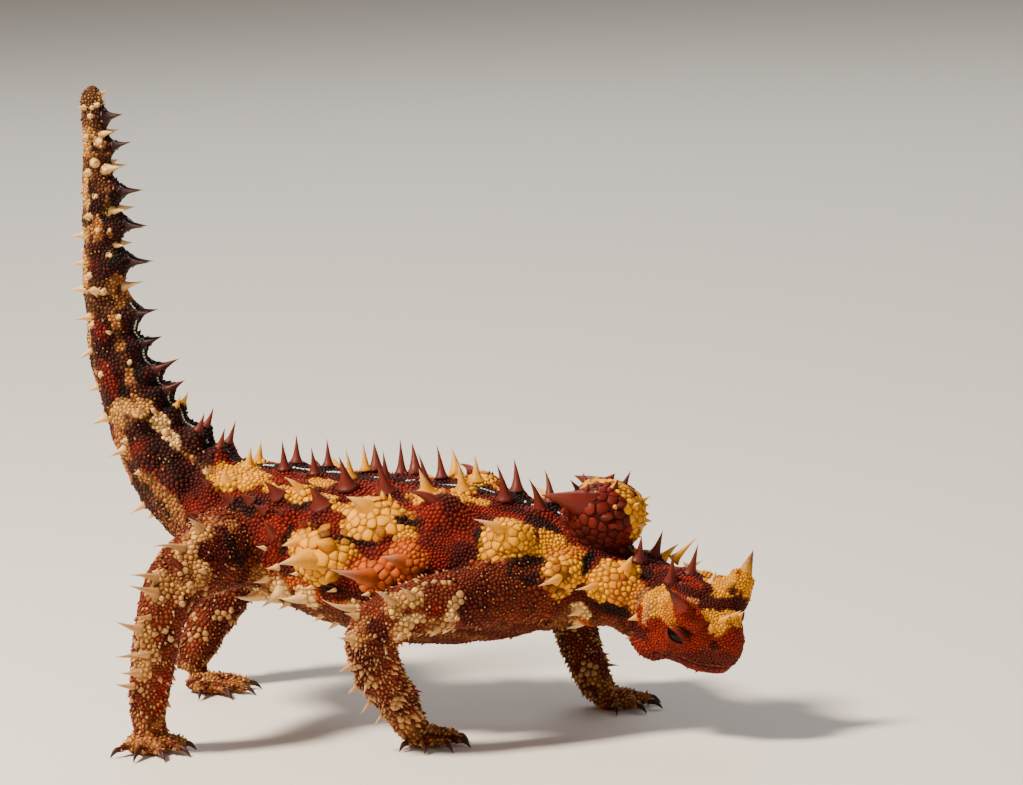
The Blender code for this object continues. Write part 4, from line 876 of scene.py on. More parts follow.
@dataclass
class Markings:
    """The colours of the hide over the whole body, from its ground tones and its patches."""

    anatomy: Anatomy
    thicket: Thicket

    def __post_init__(self) -> None:
        """Places every patch on the body, with its like on the other side."""
        self.patches = []
        for key, tone, spots in MARKS:
            for t, angle, along, around in spots:
                for name, side in self.anatomy.sides(key):
                    place, normal, lie = self.anatomy.lines[name].spot(t, angle * side)
                    axes = np.stack([lie, unit(np.cross(normal, lie)), normal])
                    deep = max(along, around, 3.4) * 1.15
                    self.patches.append((place, axes, np.array((along, around, deep)) * MM, rgb(tone)))
        for thorn in self.thicket.thorns:
            if thorn.plate > 0.67 and thorn.tone in (OCHRE, ORANGE, CREAM):
                reach = thorn.radius * np.array((1.5, 1.5, 2.6))
                axes = np.stack([*self.across(thorn.normal), thorn.normal])
                tone = STRAW if thorn.line in self.anatomy.leg_sides else thorn.tone
                self.patches.append((thorn.root, axes, reach, rgb(tone)))
        stump = self.anatomy.horn(1).blend(0.95)[0, :3]
        self.patches.append((stump, np.eye(3), np.full(3, 2.7 * MM), rgb(OCHRE)))

    @staticmethod
    def across(normal: Array) -> tuple[Array, Array]:
        """Two directions square to a normal and to each other."""
        side = unit(np.cross(normal, (0.31, 0.17, 0.94)))
        return side, np.cross(normal, side)

    def ground(self, points: Array, found: Array) -> Array:
        """The ground tones before the patches, by part of the body."""
        names, legs = self.anatomy.parts(found)
        t, angle = found[:, 1], np.abs(found[:, 2])
        rough = grain(points, 3.2 * MM, 3)
        fine = grain(points, 1.1 * MM, 4)
        mixed = np.clip(rough * 1.5 - 0.35 + (fine - 0.5) * 0.9, 0, 1)[:, None]
        torso = mix(MAROON, BRICK, mixed)
        # The underside blends into the dark belly tone mixed with tan: painted shade over the belly's own
        # colour.
        belly_shade = mix(BELLY, TAN, mixed, 0.5)
        low = smooth(112, 134, angle)[:, None]
        colour = torso * (1 - low) + belly_shade * low
        tail = mix(BLACK, MAROON, mixed)
        tail_low = mix(MAROON, TAN, smooth(0.3, 0.8, mixed))
        under = smooth(100, 125, angle)[:, None]
        on_tail = (smooth(8.6, 9.4, t) * (names == "body"))[:, None]
        colour = colour * (1 - on_tail) + (tail * (1 - under) + tail_low * under) * on_tail
        limb, nape = mix(LIMB, MAROON, mixed), mix(KNOB, MAROON, mixed)
        face = mix(FACE, BRICK, mixed, 0.8)
        for where, tones in ((legs, limb), (names == "head", face), (names == "nape", nape)):
            colour[where] = tones[where]
        crest = (names == "body") & (t > CREST[0]) & (t < CREST[1])
        width = np.sin(np.radians(np.minimum(angle, 90.0))) * self.anatomy.lines["body"].blend(t)[:, 3]
        dark = np.where(crest, smooth(2.6 * MM, 1.5 * MM, width), 0.0)[:, None]
        return colour * (1 - dark) + rgb(BLACK) * 1.6 * dark

    def tones(self, points: Array, found: Array) -> Array:
        """The colour of the hide at each point.

        Args:
            points: places on the skin, N by 3.
            found: what Anatomy.locate gives for them.

        Returns:
            N by 3 linear colours.
        """
        colour = self.ground(points, found)
        ragged = (grain(points, 1.7 * MM, 1) - 0.5) * 0.55 + (grain(points, 0.7 * MM, 2) - 0.5) * 0.3
        for place, axes, radii, tone in self.patches:
            local = (points - place) @ axes.T / radii
            weight = np.clip((1.06 + ragged - np.sqrt(dot(local, local))) / 0.14, 0, 1)[:, None]
            colour += (tone - colour) * weight
        names, legs = self.anatomy.parts(found)
        tail = (names == "body") & (found[:, 1] > TAIL)
        blots = smooth(0.52, 0.66, grain(points, 1.5 * MM, 6)) * legs * 0.75
        blots = np.maximum(blots, smooth(0.50, 0.60, grain(points, 2.4 * MM, 16)) * tail * 0.85)
        dark = np.where(legs[:, None], rgb(LIMB) * 0.7, rgb(UMBER) * 1.6)
        colour += (dark - colour) * blots[:, None]
        worn = smooth(0.34, 0.60, grain(points, 1.1 * MM, 18)) * smooth(7.5 * MM, 4.0 * MM, points[:, 2])
        return colour + (rgb(SAND) - colour) * (worn * legs * 0.72)[:, None]


def linked(name: str, data: ID) -> Object:
    """A new object that is linked to the scene."""
    obj = bpy.data.objects.new(name, data)
    bpy.context.scene.collection.objects.link(obj)
    return obj


def new_mesh(name: str, bm: BMesh) -> Mesh:
    """Turns a bmesh to a mesh and frees it."""
    mesh = bpy.data.meshes.new(name)
    bm.to_mesh(mesh)
    bm.free()
    return mesh


def joined(parts: Iterable[BMesh]) -> BMesh:
    """Joins bmeshes in their order and frees them."""
    bm = bmesh.new()
    for part in parts:
        mesh = new_mesh("part", part)
        bm.from_mesh(mesh)
        bpy.data.meshes.remove(mesh)
    return bm


def mesh_object(name: str, mesh: Mesh, material: Material) -> Object:
    """A new piece of the model that rides on its one body.

    Args:
        name: the piece's name.
        mesh: its mesh, already in place.
        material: what it is made of.

    Returns:
        The object.
    """
    obj = linked(name, mesh)
    mesh.materials.clear()
    mesh.materials.append(material)
    mesh.shade_smooth()
    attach(obj, "root")
    return obj


def set_tones(mesh: Mesh, colours: Array) -> None:
    """Stores one colour for each vertex as the attribute that the finishes read."""
    layer = mesh.color_attributes.new("Tone", "FLOAT_COLOR", "POINT")
    values = np.ones((len(mesh.vertices), 4), np.float32)
    values[:, :3] = np.clip(colours, 0, 1)
    layer.data.foreach_set("color", values.ravel())


def coordinates(mesh: Mesh) -> Array:
    """The places of a mesh's vertices."""
    values = np.empty(len(mesh.vertices) * 3, np.float32)
    mesh.vertices.foreach_get("co", values)
    return values.reshape(-1, 3).astype(float)


def sheet(columns: int, rows: int) -> tuple[BMesh, list[BMVert], Array]:
    """A flat grid as a bmesh, its vertices and their places from -1 to 1."""
    bm = bmesh.new()
    verts = bmesh.ops.create_grid(bm, x_segments=columns, y_segments=rows, size=1.0)["verts"]
    return bm, verts, np.array([v.co for v in verts])


def move(verts: Iterable[BMVert], places: Array) -> None:
    """Moves vertices to new places."""
    for vert, place in zip(verts, places):
        vert.co = place


def wrap(bm: BMesh, verts: list[BMVert], places: Array, seam: float) -> None:
    """Wraps a sheet round a form, merges its seam and fills its ends.

    Args:
        bm: the bmesh of the sheet.
        verts: its vertices.
        places: where each of them goes.
        seam: how near the corners are that become one, in metres.
    """
    move(verts, places)
    bmesh.ops.remove_doubles(bm, verts=bm.verts, dist=seam)
    bmesh.ops.holes_fill(bm, edges=[e for e in bm.edges if e.is_boundary], sides=0)
    bmesh.ops.recalc_face_normals(bm, faces=bm.faces)


def loft(line: Line, start: float, end: float, rings: int, sides: int, grow: float = 0.0) -> BMesh:
    """A stretch of a line as a closed bmesh.

    Args:
        line: the line to follow.
        start: the first station.
        end: the last station.
        rings: how many spaces lie along it.
        sides: how many lie round it.
        grow: how far it stands outside the line's own surface.

    Returns:
        The new bmesh.
    """
    bm, verts, flat = sheet(rings, sides)
    t = start + (end - start) * (flat[:, 0] + 1) / 2
    wrap(bm, verts, line.surface(t, 180 * flat[:, 1], grow), 1e-6)
    return bm


def ball(centre: Array, half: Array, turn: Array | None = None, segments: int = 32) -> BMesh:
    """An oval ball as a bmesh, with its half sizes along the columns of a turn."""
    bm = bmesh.new()
    matrix = np.eye(4)
    matrix[:3, :3] = (np.eye(3) if turn is None else turn) * np.asarray(half)
    matrix[:3, 3] = centre
    bmesh.ops.create_uvsphere(
        bm, u_segments=segments, v_segments=segments // 2, radius=1.0, matrix=Matrix(matrix)
    )
    return bm


@dataclass
class Hide:
    """The one skin of the whole animal, without its scales."""

    anatomy: Anatomy
    bosses: Bosses
    depth: float = 0.34
    voxel: float = 0.48
    rounds: int = 7

    def parts(self) -> list[BMesh]:
        """The masses that the skin is drawn over."""
        a, sunk = self.anatomy, -self.depth * MM
        made = []
        legs = ((name, 50, 32) for name in a.leg_sides)
        for name, rings, sides in (("body", 150, 48), ("head", 50, 48), *legs):
            made.append(loft(a.lines[name], 0.0, a.lines[name].end, rings, sides, sunk))
        made.append(ball(a.nape(), (np.array(a.nape_half) - self.depth) * MM))
        made.append(loft(a.line(STALK, (0, 1, 0)), 0.0, 2.0, 12, 32, sunk))
        for side in (-1, 1):
            made.append(loft(a.horn(side), 0.0, 1.6, 14, 24, -0.05 * MM))
            for (x, y, z), half in BROW_CHEEK_JAW:
                made.append(ball(a.skull(x, side * y, z), np.array(half) * MM, a.turn))
        for foot in FEET.values():
            turn = np.array(Matrix.Rotation(math.radians(foot.heading), 3, "Z"))
            place = np.array((foot.x, foot.y, 1.5)) * MM + a.shift
            made.append(ball(place, np.array((foot.palm * 1.02, foot.palm * 0.92, 1.75)) * MM, turn))
            for fan, share in zip(TOE_FAN, TOE_SHARES):
                flesh = a.toe(foot, fan, share)[0]
                made.append(loft(flesh, 0.0, flesh.end, 10, 14, -0.1 * MM))
        return made

    def drawn(self) -> Mesh:
        """Joins the masses, remeshes them as one surface and smooths its creases."""
        obj = linked("skin_parts", new_mesh("skin_parts", joined(self.parts())))
        remesh = obj.modifiers.new("one_surface", "REMESH")
        remesh.mode = "VOXEL"
        remesh.voxel_size = self.voxel * MM
        ease = obj.modifiers.new("eased", "SMOOTH")
        ease.factor = 0.5
        ease.iterations = self.rounds
        graph = bpy.context.evaluated_depsgraph_get()
        made = bpy.data.meshes.new_from_object(obj.evaluated_get(graph))
        bpy.data.objects.remove(obj)
        return made

    def shape(self, mesh: Mesh) -> None:
        """Raises the lobes under the spines, opens the mouth and ears and flattens the soles."""
        points = coordinates(mesh)
        normals = np.empty(len(points) * 3, np.float32)
        mesh.vertices.foreach_get("normal", normals)
        normals = normals.reshape(-1, 3).astype(float)
        rise = self.bosses.lift(points, normals)
        folds = (grain(points, 3.4 * MM, 7) - 0.5) * 0.7 * MM
        rise += folds + (grain(points, 1.5 * MM, 8) - 0.5) * 0.3 * MM
        mouth = tree_of(self.anatomy.mouth())
        head = np.linalg.norm(points - self.anatomy.skull(9, 0, -2), axis=1) < 14 * MM
        for i in np.flatnonzero(head):
            gap = mouth.find(points[i])[2] / MM
            if gap < 1.2:
                rise[i] -= 0.42 * MM * math.exp(-((gap / 0.42) ** 2))
        for side in (-1, 1):
            for x, y, z, radius, deep in PITS:
                gap = np.linalg.norm(points - self.anatomy.skull(x, side * y, z), axis=1) / (radius * MM)
                rise -= deep * MM * np.exp(-(gap**2))
        points += normals * rise[:, None]
        points[:, 2] = np.maximum(points[:, 2], 0.0)
        mesh.vertices.foreach_set("co", points.astype(np.float32).ravel())
        mesh.update()

    def build(self, markings: Markings, finish: Material) -> Object:
        """Makes the skin and hides the solids of flesh that it stands for."""
        mesh = self.drawn()
        mesh.name = "skin"
        self.shape(mesh)
        points = coordinates(mesh)
        found = self.anatomy.locate(points)
        # The skin's tones are halved: painted shade in the gaps between the scales.
        set_tones(mesh, markings.tones(points, found) * 0.5)
        obj = mesh_object("skin", mesh, finish)
        flesh = [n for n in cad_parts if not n.startswith(("eye", "horn"))]
        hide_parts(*flesh)
        log.info("skin: %d faces", len(mesh.polygons))
        return obj


def unwrap(found: Array, low: float, high: float) -> Array:
    """Each root's place on the unwrap of the skin along and round one line."""
    u = (found[:, 1] - low) / max(high - low, 1e-6)
    v = (found[:, 2] + 180.0) / 360.0
    return 0.02 + 0.96 * np.clip(np.column_stack([u, v]), 0, 1)


class Stamp:
    """A small closed cap that is repeated many times: a base, rings and a crown point."""

    def __init__(self, sides: int, rings: int, levels: tuple[int, ...] = ()) -> None:
        """Makes the cap once with bmesh operators and keeps its faces as arrays.

        Args:
            sides: how many corners each ring has.
            rings: how many rings lie under the crown point.
            levels: which step of a scale's profile each ring stands at.
        """
        self.sides, self.rings, self.levels = sides, rings, np.array(levels)
        bm = bmesh.new()
        ring = bmesh.ops.create_circle(bm, segments=sides, radius=float(rings))["verts"]
        edges = list(bm.edges)
        bmesh.ops.contextual_create(bm, geom=edges)
        for number in range(1, rings + 1):
            grown = bmesh.ops.extrude_edge_only(bm, edges=edges)["geom"]
            ring = [g for g in grown if isinstance(g, BMVert)]
            edges = [g for g in grown if isinstance(g, BMEdge)]
            size = max(rings - number, 1e-9) / (rings - number + 1)
            bmesh.ops.scale(bm, vec=(size, size, 1.0), verts=ring)
            bmesh.ops.translate(bm, vec=(0, 0, 1.0), verts=ring)
        bmesh.ops.pointmerge(bm, verts=ring, merge_co=(0, 0, float(rings)))
        bmesh.ops.recalc_face_normals(bm, faces=bm.faces)
        bm.verts.ensure_lookup_table()
        flat = np.array([v.co for v in bm.verts])
        self.ring = np.round(flat[:, 2]).astype(int)
        turn = np.arctan2(flat[:, 1], flat[:, 0]) / math.tau * sides
        self.side = np.round(turn - turn[0]).astype(int) % sides
        self.flat = flat[:, :2] / rings
        self.corners = np.array([v.index for f in bm.faces for v in f.verts])
        self.starts = np.cumsum([0] + [len(f.verts) for f in bm.faces])[:-1]
        self.triangles = sum(len(f.verts) - 2 for f in bm.faces)
        bm.free()

    def angles(self) -> Array:
        """The angle of each side, from the first."""
        return np.arange(self.sides) * math.tau / self.sides

    def mesh(self, name: str, places: Array, colours: Array, spots: Array) -> Mesh:
        """Repeats the cap as one mesh.

        Args:
            name: the mesh's name.
            places: N caps by the cap's vertices by 3.
            colours: linear colours in the same layout.
            spots: N by 2, each root's place on the unwrap of the skin.

        Returns:
            The mesh, with its colours and its OFBake map.
        """
        count, size = places.shape[0], places.shape[1]
        corners = (self.corners[None, :] + np.arange(count)[:, None] * size).ravel()
        starts = (self.starts[None, :] + np.arange(count)[:, None] * len(self.corners)).ravel()
        mesh = bpy.data.meshes.new(name)
        mesh.vertices.add(count * size)
        mesh.vertices.foreach_set("co", places.astype(np.float32).ravel())
        mesh.loops.add(len(corners))
        mesh.loops.foreach_set("vertex_index", corners.astype(np.int32))
        mesh.polygons.add(len(starts))
        mesh.polygons.foreach_set("loop_start", starts.astype(np.int32))
        mesh.update(calc_edges=True)
        mesh.validate()
        set_tones(mesh, colours.reshape(-1, 3))
        layer = mesh.uv_layers.new(name="OFBake")
        patch = self.flat[self.corners] * PATCH / 2
        layer.data.foreach_set("uv", (spots[:, None, :] + patch[None]).astype(np.float32).ravel())
        return mesh


class Kind(Enum):
    """Kinds of scale, each the shares of its radius and of its height at its rings."""

    BEAD = ((1.05, 1.0, 0.76, 0.0), (-0.7, 0.1, 0.70, 1.0))
    PLATE = ((1.03, 1.0, 0.82, 0.0), (-1.2, 0.1, 0.84, 1.0))
    POINT = ((1.06, 0.96, 0.56, 0.0), (-0.3, 0.1, 0.42, 1.0))


BEAD, PLATE, POINT = range(len(Kind))
# How the tone changes from the foot of a scale to its crown: painted shade in the grooves between the
# scales and a painted highlight on the crowns.
RING_PAINTED_LIGHT = ((0.36, 0.25, 0.20), (0.66, 0.54, 0.46), (1.0, 1.0, 1.0), (1.08, 1.08, 1.08))


class Role(IntEnum):
    """Where a scale stands. BARE places hold the line of the mouth free and show no scale."""

    BARE = 0
    STRIPE = 1
    LIP = 2
    FREE = 3
    LID = 4


@dataclass
class Mosaic:
    """The scales of the whole animal, fitted to one another like paving."""

    anatomy: Anatomy
    thicket: Thicket
    markings: Markings
    crowding: int = 5
    neighbours: int = 14
    gap: float = 0.03
    cell: float = 0.6
    big_size: float = 0.85
    feet_height: float = 3.4
    foot_span: float = 14.0

    def candidates(self, mesh: Mesh) -> None:
        """Throws random places over the skin, more where the scales are smaller."""
        draw = np.random.default_rng(5)
        mesh.calc_loop_triangles()
        corners = np.empty(len(mesh.loop_triangles) * 3, np.int32)
        mesh.loop_triangles.foreach_get("vertices", corners)
        points = coordinates(mesh)
        a, b, c = (points[corners.reshape(-1, 3)[:, k]] for k in range(3))
        middle = (a + b + c) / 3
        areas = np.linalg.norm(np.cross(b - a, c - a), axis=1) / 2
        found = self.anatomy.locate(middle)
        size = self.spacing(middle, found)
        expected = self.crowding * areas / (0.87 * size**2)
        count = np.floor(expected + draw.random(len(expected))).astype(int)
        index = np.repeat(np.arange(len(count)), count)
        u, v = draw.random(len(index)), draw.random(len(index))
        flip = u + v > 1
        u[flip], v[flip] = 1 - u[flip], 1 - v[flip]
        self.places = a[index] + (b - a)[index] * u[:, None] + (c - a)[index] * v[:, None]
        self.sizes = size[index] * draw.uniform(0.92, 1.08, len(index))
        order = np.argsort(-self.sizes + draw.uniform(0, 0.06, len(index)) * MM)
        self.places, self.sizes = self.places[order], self.sizes[order]

    def spacing(self, points: Array, found: Array) -> Array:
        """How far apart the scales stand at each point."""
        names, legs = self.anatomy.parts(found)
        t, angle = found[:, 1], np.abs(found[:, 2])
        size = 0.41 + 0.20 * grain(points, 3.0 * MM, 9)
        size[(names == "body") & (angle > 120)] = 0.62
        tail = (names == "body") & (t > 9)
        size[tail] = np.clip(0.56 - 0.02 * (t[tail] - 9), 0.42, 1.0)
        size[names == "head"] = 0.40
        jaw = (names == "head") & (angle > 118)
        size[jaw] = 0.48
        nape = names == "nape"
        size[nape] = 0.72 + 0.62 * smooth(0.25, 0.7, grain(points[nape], 3.6 * MM, 12))
        size[legs] = 0.47 + 0.42 * smooth(0.4, 0.9, grain(points[legs], 2.0 * MM, 9))
        plates = np.char.startswith(names, "fore") & (t > 1.3) & (t < 2.6) & (angle > 60)
        size[plates] += 0.3 * smooth(0.3, 0.6, grain(points[plates], 1.6 * MM, 13))
        low = points[:, 2] < 4.2 * MM
        size[low] = 0.60
        uneven = smooth(0.3, 0.7, grain(points, 2.4 * MM, 15))
        for place, radius, target in self.plates():
            away = points - place
            gap = np.sqrt(dot(away, away)) / radius
            share = smooth(2.0, 1.2, gap)
            wanted = target * (0.62 + 0.5 * uneven)
            size += (np.maximum(wanted, size) - size) * share
        dull = (names == "body") & (self.markings.tones(points, found)[:, 0] < 0.28)
        size[dull] = np.minimum(size[dull], 0.60)
        for side in (-1, 1):
            gap = np.linalg.norm(points - self.anatomy.skull(9.8, side * 7.6, 0.8), axis=1) / MM
            size += (0.40 - size) * smooth(4.2, 2.4, gap)
        return size * MM

    def plates(self) -> list[tuple[Array, float, float]]:
        """Places round which the scales grow: the spines' roots and the flank shields."""
        made = []
        for thorn in self.thicket.thorns:
            if thorn.radius > 1.05 * MM:
                made.append((thorn.root, thorn.radius, thorn.plate))
        for key, t, angle, along, around, _, plate in SHIELDS:
            for name, side in self.anatomy.sides(key):
                place = self.anatomy.lines[name].surface(t, angle * side)[0]
                made.append((place, (along + around) / 3 * MM, plate))
        return made

    def settled(self) -> None:
        """Adds the scales that stand in rows, with the bare lines between them."""
        a, line = self.anatomy, self.anatomy.lines["body"]
        rows: list[tuple[Array, float, Role]] = []
        t = CREST[0]
        while t < CREST[1]:
            rows.append((line.surface(t, 0)[0], 0.58 * MM, Role.STRIPE))
            t += 0.56 * MM / line.pace(t)
        mouth = a.mouth()
        up = a.way(0, 0, 1)
        walk = np.concatenate([[0], np.cumsum(np.linalg.norm(np.diff(mouth, axis=0), axis=1))])

        def reached(step: float) -> Array:
            """The place that far along the mouth."""
            return np.array([np.interp(step, walk, mouth[:, k]) for k in range(3)])

        for step in np.arange(0.0, walk[-1], 0.42 * MM):
            rows.append((reached(step), 0.3 * MM, Role.BARE))
        for step in np.arange(0.3 * MM, walk[-1], 0.98 * MM):
            for rise in (0.52, -0.56):
                rows.append((reached(step) + up * rise * MM, 0.92 * MM, Role.LIP))
        self.fixed = rows

    def throw(self) -> None:
        """Keeps the places that stand far enough from those already kept."""
        cell = self.cell * MM
        kept: list[int] = []
        held: dict[tuple[int, int, int], list[int]] = {}
        fixed, fixed_sizes, fixed_roles = zip(*self.fixed)
        places = np.concatenate([fixed, self.places])
        sizes = np.concatenate([fixed_sizes, self.sizes])
        self.role = np.concatenate([fixed_roles, np.full(len(self.sizes), Role.FREE)])
        free = np.ones(len(places), bool)
        for thorn in self.thicket.thorns:
            away = places - thorn.root
            free &= ~(dot(away, away) < (thorn.horn * 0.7 + sizes * 0.3) ** 2)
        for side in (-1, 1):
            for x, y, z, radius in CLEARINGS:
                away = places - self.anatomy.skull(x, side * y, z)
                free &= dot(away, away) > (radius * MM) ** 2
        free &= places[:, 2] > 0.25 * MM
        rows = places.tolist()
        keys = np.floor(places / cell).astype(int).tolist()
        spans = sizes.tolist()
        for i in range(len(rows)):
            x, y, z = rows[i]
            span = spans[i]
            loose = self.role[i] == Role.FREE
            if loose and not free[i]:
                continue
            if loose and any(
                (x - rows[j][0]) ** 2 + (y - rows[j][1]) ** 2 + (z - rows[j][2]) ** 2
                < ((span + spans[j]) / 2) ** 2
                for j in held.get(tuple(keys[i]), ())
            ):
                continue
            kept.append(i)
            reach = int(math.ceil(span / cell)) if loose else 2
            kx, ky, kz = keys[i]
            for dx in range(-reach, reach + 1):
                for dy in range(-reach, reach + 1):
                    for dz in range(-reach, reach + 1):
                        held.setdefault((kx + dx, ky + dy, kz + dz), []).append(i)
        self.places, self.sizes, self.role = places[kept], sizes[kept], self.role[kept]

    def lids(self) -> None:
        """Adds the small beads that cover the lids outside their bare rims."""
        a, size = self.anatomy, 0.40
        for side in (-1, 1):
            for upper in (True, False):
                for rim in np.arange(0.16, 0.8, 0.155):
                    rise = math.radians(17 + 67 * rim)
                    step = math.degrees(size / (a.lid_radius * math.cos(rise)))
                    swing = np.arange(-84 + step * rim * 3 % step, 84, step)
                    centre, ways = a.lid(side, upper, swing, np.full(len(swing), rim))
                    self.places = np.concatenate([self.places, centre + ways * (a.lid_radius - 0.02) * MM])
                    self.normals = np.concatenate([self.normals, ways])
                    self.sizes = np.concatenate([self.sizes, np.full(len(ways), size * 1.1 * MM)])
                    self.role = np.concatenate([self.role, np.full(len(ways), Role.LID)])

    def nearest(self, count: int) -> Array:
        """The numbers of the places nearest to each place."""
        tree = tree_of(self.places)
        found = [[hit[1] for hit in tree.find_n(place, count + 1)] for place in self.places]
        return np.array(found)[:, 1:]

    def relax(self, skin: BVHTree, rounds: int = 3) -> None:
        """Lets the scales push each other apart and puts them back on the skin."""
        for number in range(rounds + 1):
            if number < rounds:
                near = self.nearest(7)
                away = self.places[:, None] - self.places[near]
                gap = np.linalg.norm(away, axis=2)
                wanted = (self.sizes[:, None] + self.sizes[near]) / 2 * 1.12
                push = np.clip(1 - gap / wanted, 0, 1)[..., None] * away / np.maximum(gap, 1e-9)[..., None]
                step = push.sum(axis=1) * self.sizes[:, None] * 0.4
                step[self.role < Role.FREE] = 0
                self.places = self.places + step
            hits = [skin.find_nearest(place) for place in self.places]
            self.places = np.array([hit[0] for hit in hits])
        self.normals = np.array([hit[1] for hit in hits])

    def outlines(self, chosen: Array, angles: Array) -> Array:
        """How far each scale reaches in each direction before it meets a neighbour."""
        near, sizes = self.near[chosen], self.sizes[chosen][:, None]
        offset = self.places[near] - self.places[chosen][:, None]
        x = np.einsum("nkc,nc->nk", offset, self.along[chosen])
        y = np.einsum("nkc,nc->nk", offset, self.across[chosen])
        gap = np.maximum(np.hypot(x, y), 1e-9)
        share = sizes / (sizes + self.sizes[near])
        border = gap * share
        facing = (x[..., None] * np.cos(angles) + y[..., None] * np.sin(angles)) / gap[..., None]
        reach = np.where(facing > 0.15, border[..., None] / np.maximum(facing, 0.15), 1.0)
        return np.minimum(reach.min(axis=1), sizes * 0.82) - self.gap * MM

    def kinds(self, found: Array, draw: np.random.Generator) -> Array:
        """Chooses the kind of each scale, as its number in Kind."""
        names, legs = self.anatomy.parts(found)
        t, angle = found[:, 1], np.abs(found[:, 2])
        chance = np.full(len(found), 0.05)
        chance[names == "nape"] = 0.10
        chance[(names == "body") & (angle > 85) & (angle < 125)] = 0.12
        chance[(names == "body") & (t > 9.0)] = 0.05
        chance[(names == "body") & (t > 15.4)] = 0.45
        chance[names == "head"] = 0.02
        chance[legs] = 0.16
        chance[np.char.startswith(names, "fore") & (t > 3.0)] = 0.55
        chance[np.char.startswith(names, "hind") & (t > 3.0)] = 0.26
        kind = np.where(self.sizes > 0.95 * MM, PLATE, BEAD)
        foot = (self.places[:, 2] < 3.5 * MM) & (self.places[:, 2] > 1.2 * MM) & (self.normals[:, 2] > 0)
        chance[foot] = 0.5
        pointed = (draw.random(len(found)) < chance) & (self.role == Role.FREE)
        kind[pointed & (self.places[:, 2] > 1.2 * MM)] = POINT
        kind[self.role == Role.LIP] = PLATE
        return kind

    def piece(self, name: str, chosen: Array, spots: Array, stamp: Stamp, finish: Material) -> None:
        """Builds the scales of one region as one piece.

        Args:
            name: the piece's name.
            chosen: the numbers of its scales.
            spots: their places on the unwrap.
            stamp: the cap to repeat.
            finish: what they are made of.
        """
        reach = self.outlines(chosen, stamp.angles())
        kind = self.kind[chosen]
        level = stamp.levels[stamp.ring]
        wide = np.array([k.value[0] for k in Kind])[kind][:, level]
        tall = np.array([k.value[1] for k in Kind])[kind][:, level]
        radial = reach[:, stamp.side] * wide
        angle = stamp.angles()[stamp.side]
        crown = stamp.ring == stamp.rings
        lean = np.where(crown, 1.0, np.where(stamp.ring == stamp.rings - 1, 0.35, 0.0))
        lean = self.lean[chosen][:, None] * lean[None]
        x = radial * np.cos(angle) + lean
        y = radial * np.sin(angle)
        z = self.heights[chosen][:, None] * tall
        places = self.places[chosen][:, None]
        for axis, amount in ((self.along, x), (self.across, y), (self.normals, z)):
            places = places + axis[chosen][:, None] * amount[..., None]
        places[..., 2] = np.maximum(places[..., 2], FLOOR)
        # Painted shade darkens each scale's foot in the grooves, and a painted highlight lightens its
        # crown.
        shade = np.array(RING_PAINTED_LIGHT)[level]
        colours = self.colours[chosen][:, None] * shade[None]
        pale = (kind == POINT)[:, None] * crown[None]
        tipped = self.tipped[chosen][:, None, None] * 0.6 + 0.05
        colours = np.where(pale[..., None], colours * (1 - tipped) + rgb(CREAM) * tipped, colours)
        mesh = stamp.mesh(name, places, colours, spots)
        mesh_object(name, mesh, finish)
        log.info("%s: %d scales, %d triangles", name, len(chosen), len(chosen) * stamp.triangles)

    def lay(self, skin: Mesh) -> None:
        """Finds the place of every scale on the skin and its neighbours."""
        self.candidates(skin)
        self.settled()
        self.throw()
        bm = bmesh.new()
        bm.from_mesh(skin)
        self.relax(BVHTree.FromBMesh(bm))
        bm.free()
        self.lids()
        self.near = self.nearest(self.neighbours)

    def dress(self, found: Array) -> None:
        """Gives each scale its lie, kind, height and colour."""
        draw = np.random.default_rng(21)
        lie = found[:, 3:6]
        self.along = unit(lie - self.normals * dot(lie, self.normals)[:, None])
        self.across = np.cross(self.normals, self.along)
        self.kind = self.kinds(found, draw)
        vary = draw.uniform(0.78, 1.25, len(self.sizes))
        self.heights = self.sizes * np.choose(self.kind, [0.34, 0.15, 0.95]) * vary
        self.lean = np.where(self.kind == POINT, self.sizes * 0.55 * vary, 0.0)
        tones = self.markings.tones(self.places, found)
        tones[self.role == Role.LID] *= 0.72
        light = np.exp(draw.normal(0, 0.15, len(tones)))[:, None]
        names, legs = self.anatomy.parts(found)
        t, tail = found[:, 1], (found[:, 1] > TAIL) & (names == "body")
        light[tail & (draw.random(len(tones)) < 0.3)] *= 1.35
        light[tail & (draw.random(len(tones)) < 0.22)] *= 0.4
        horny = (self.kind == POINT) & (draw.random(len(names)) < 0.35)
        pale = (legs & (t > 1.3) & (horny | (self.sizes > 0.86 * MM)))[:, None] * 0.42
        tones = tones * (1 - pale) + rgb(CREAM) * pale
        flank = (np.abs(found[:, 2]) > 104) & (t > 4.8)
        self.tipped = legs | ((names == "body") & ((t > 9.0) | flank))
        self.colours = tones * light
        self.stripe(found)

    def feet_spots(self, chosen: Array) -> Array:
        """The places of the feet's scales on the unwrap, one quarter of it for each foot."""
        middle = np.array([(f.x, f.y) for f in FEET.values()]) * MM + self.anatomy.shift[:2]
        away = self.places[chosen][:, None, :2] - middle[None]
        which = np.argmin(np.linalg.norm(away, axis=2), axis=1)
        local = away[np.arange(len(chosen)), which] / (self.foot_span * MM)
        corner = np.array(((0.25, 0.25), (0.75, 0.25), (0.25, 0.75), (0.75, 0.75)))
        return corner[which] + np.clip(local, -0.5, 0.5) * 0.46

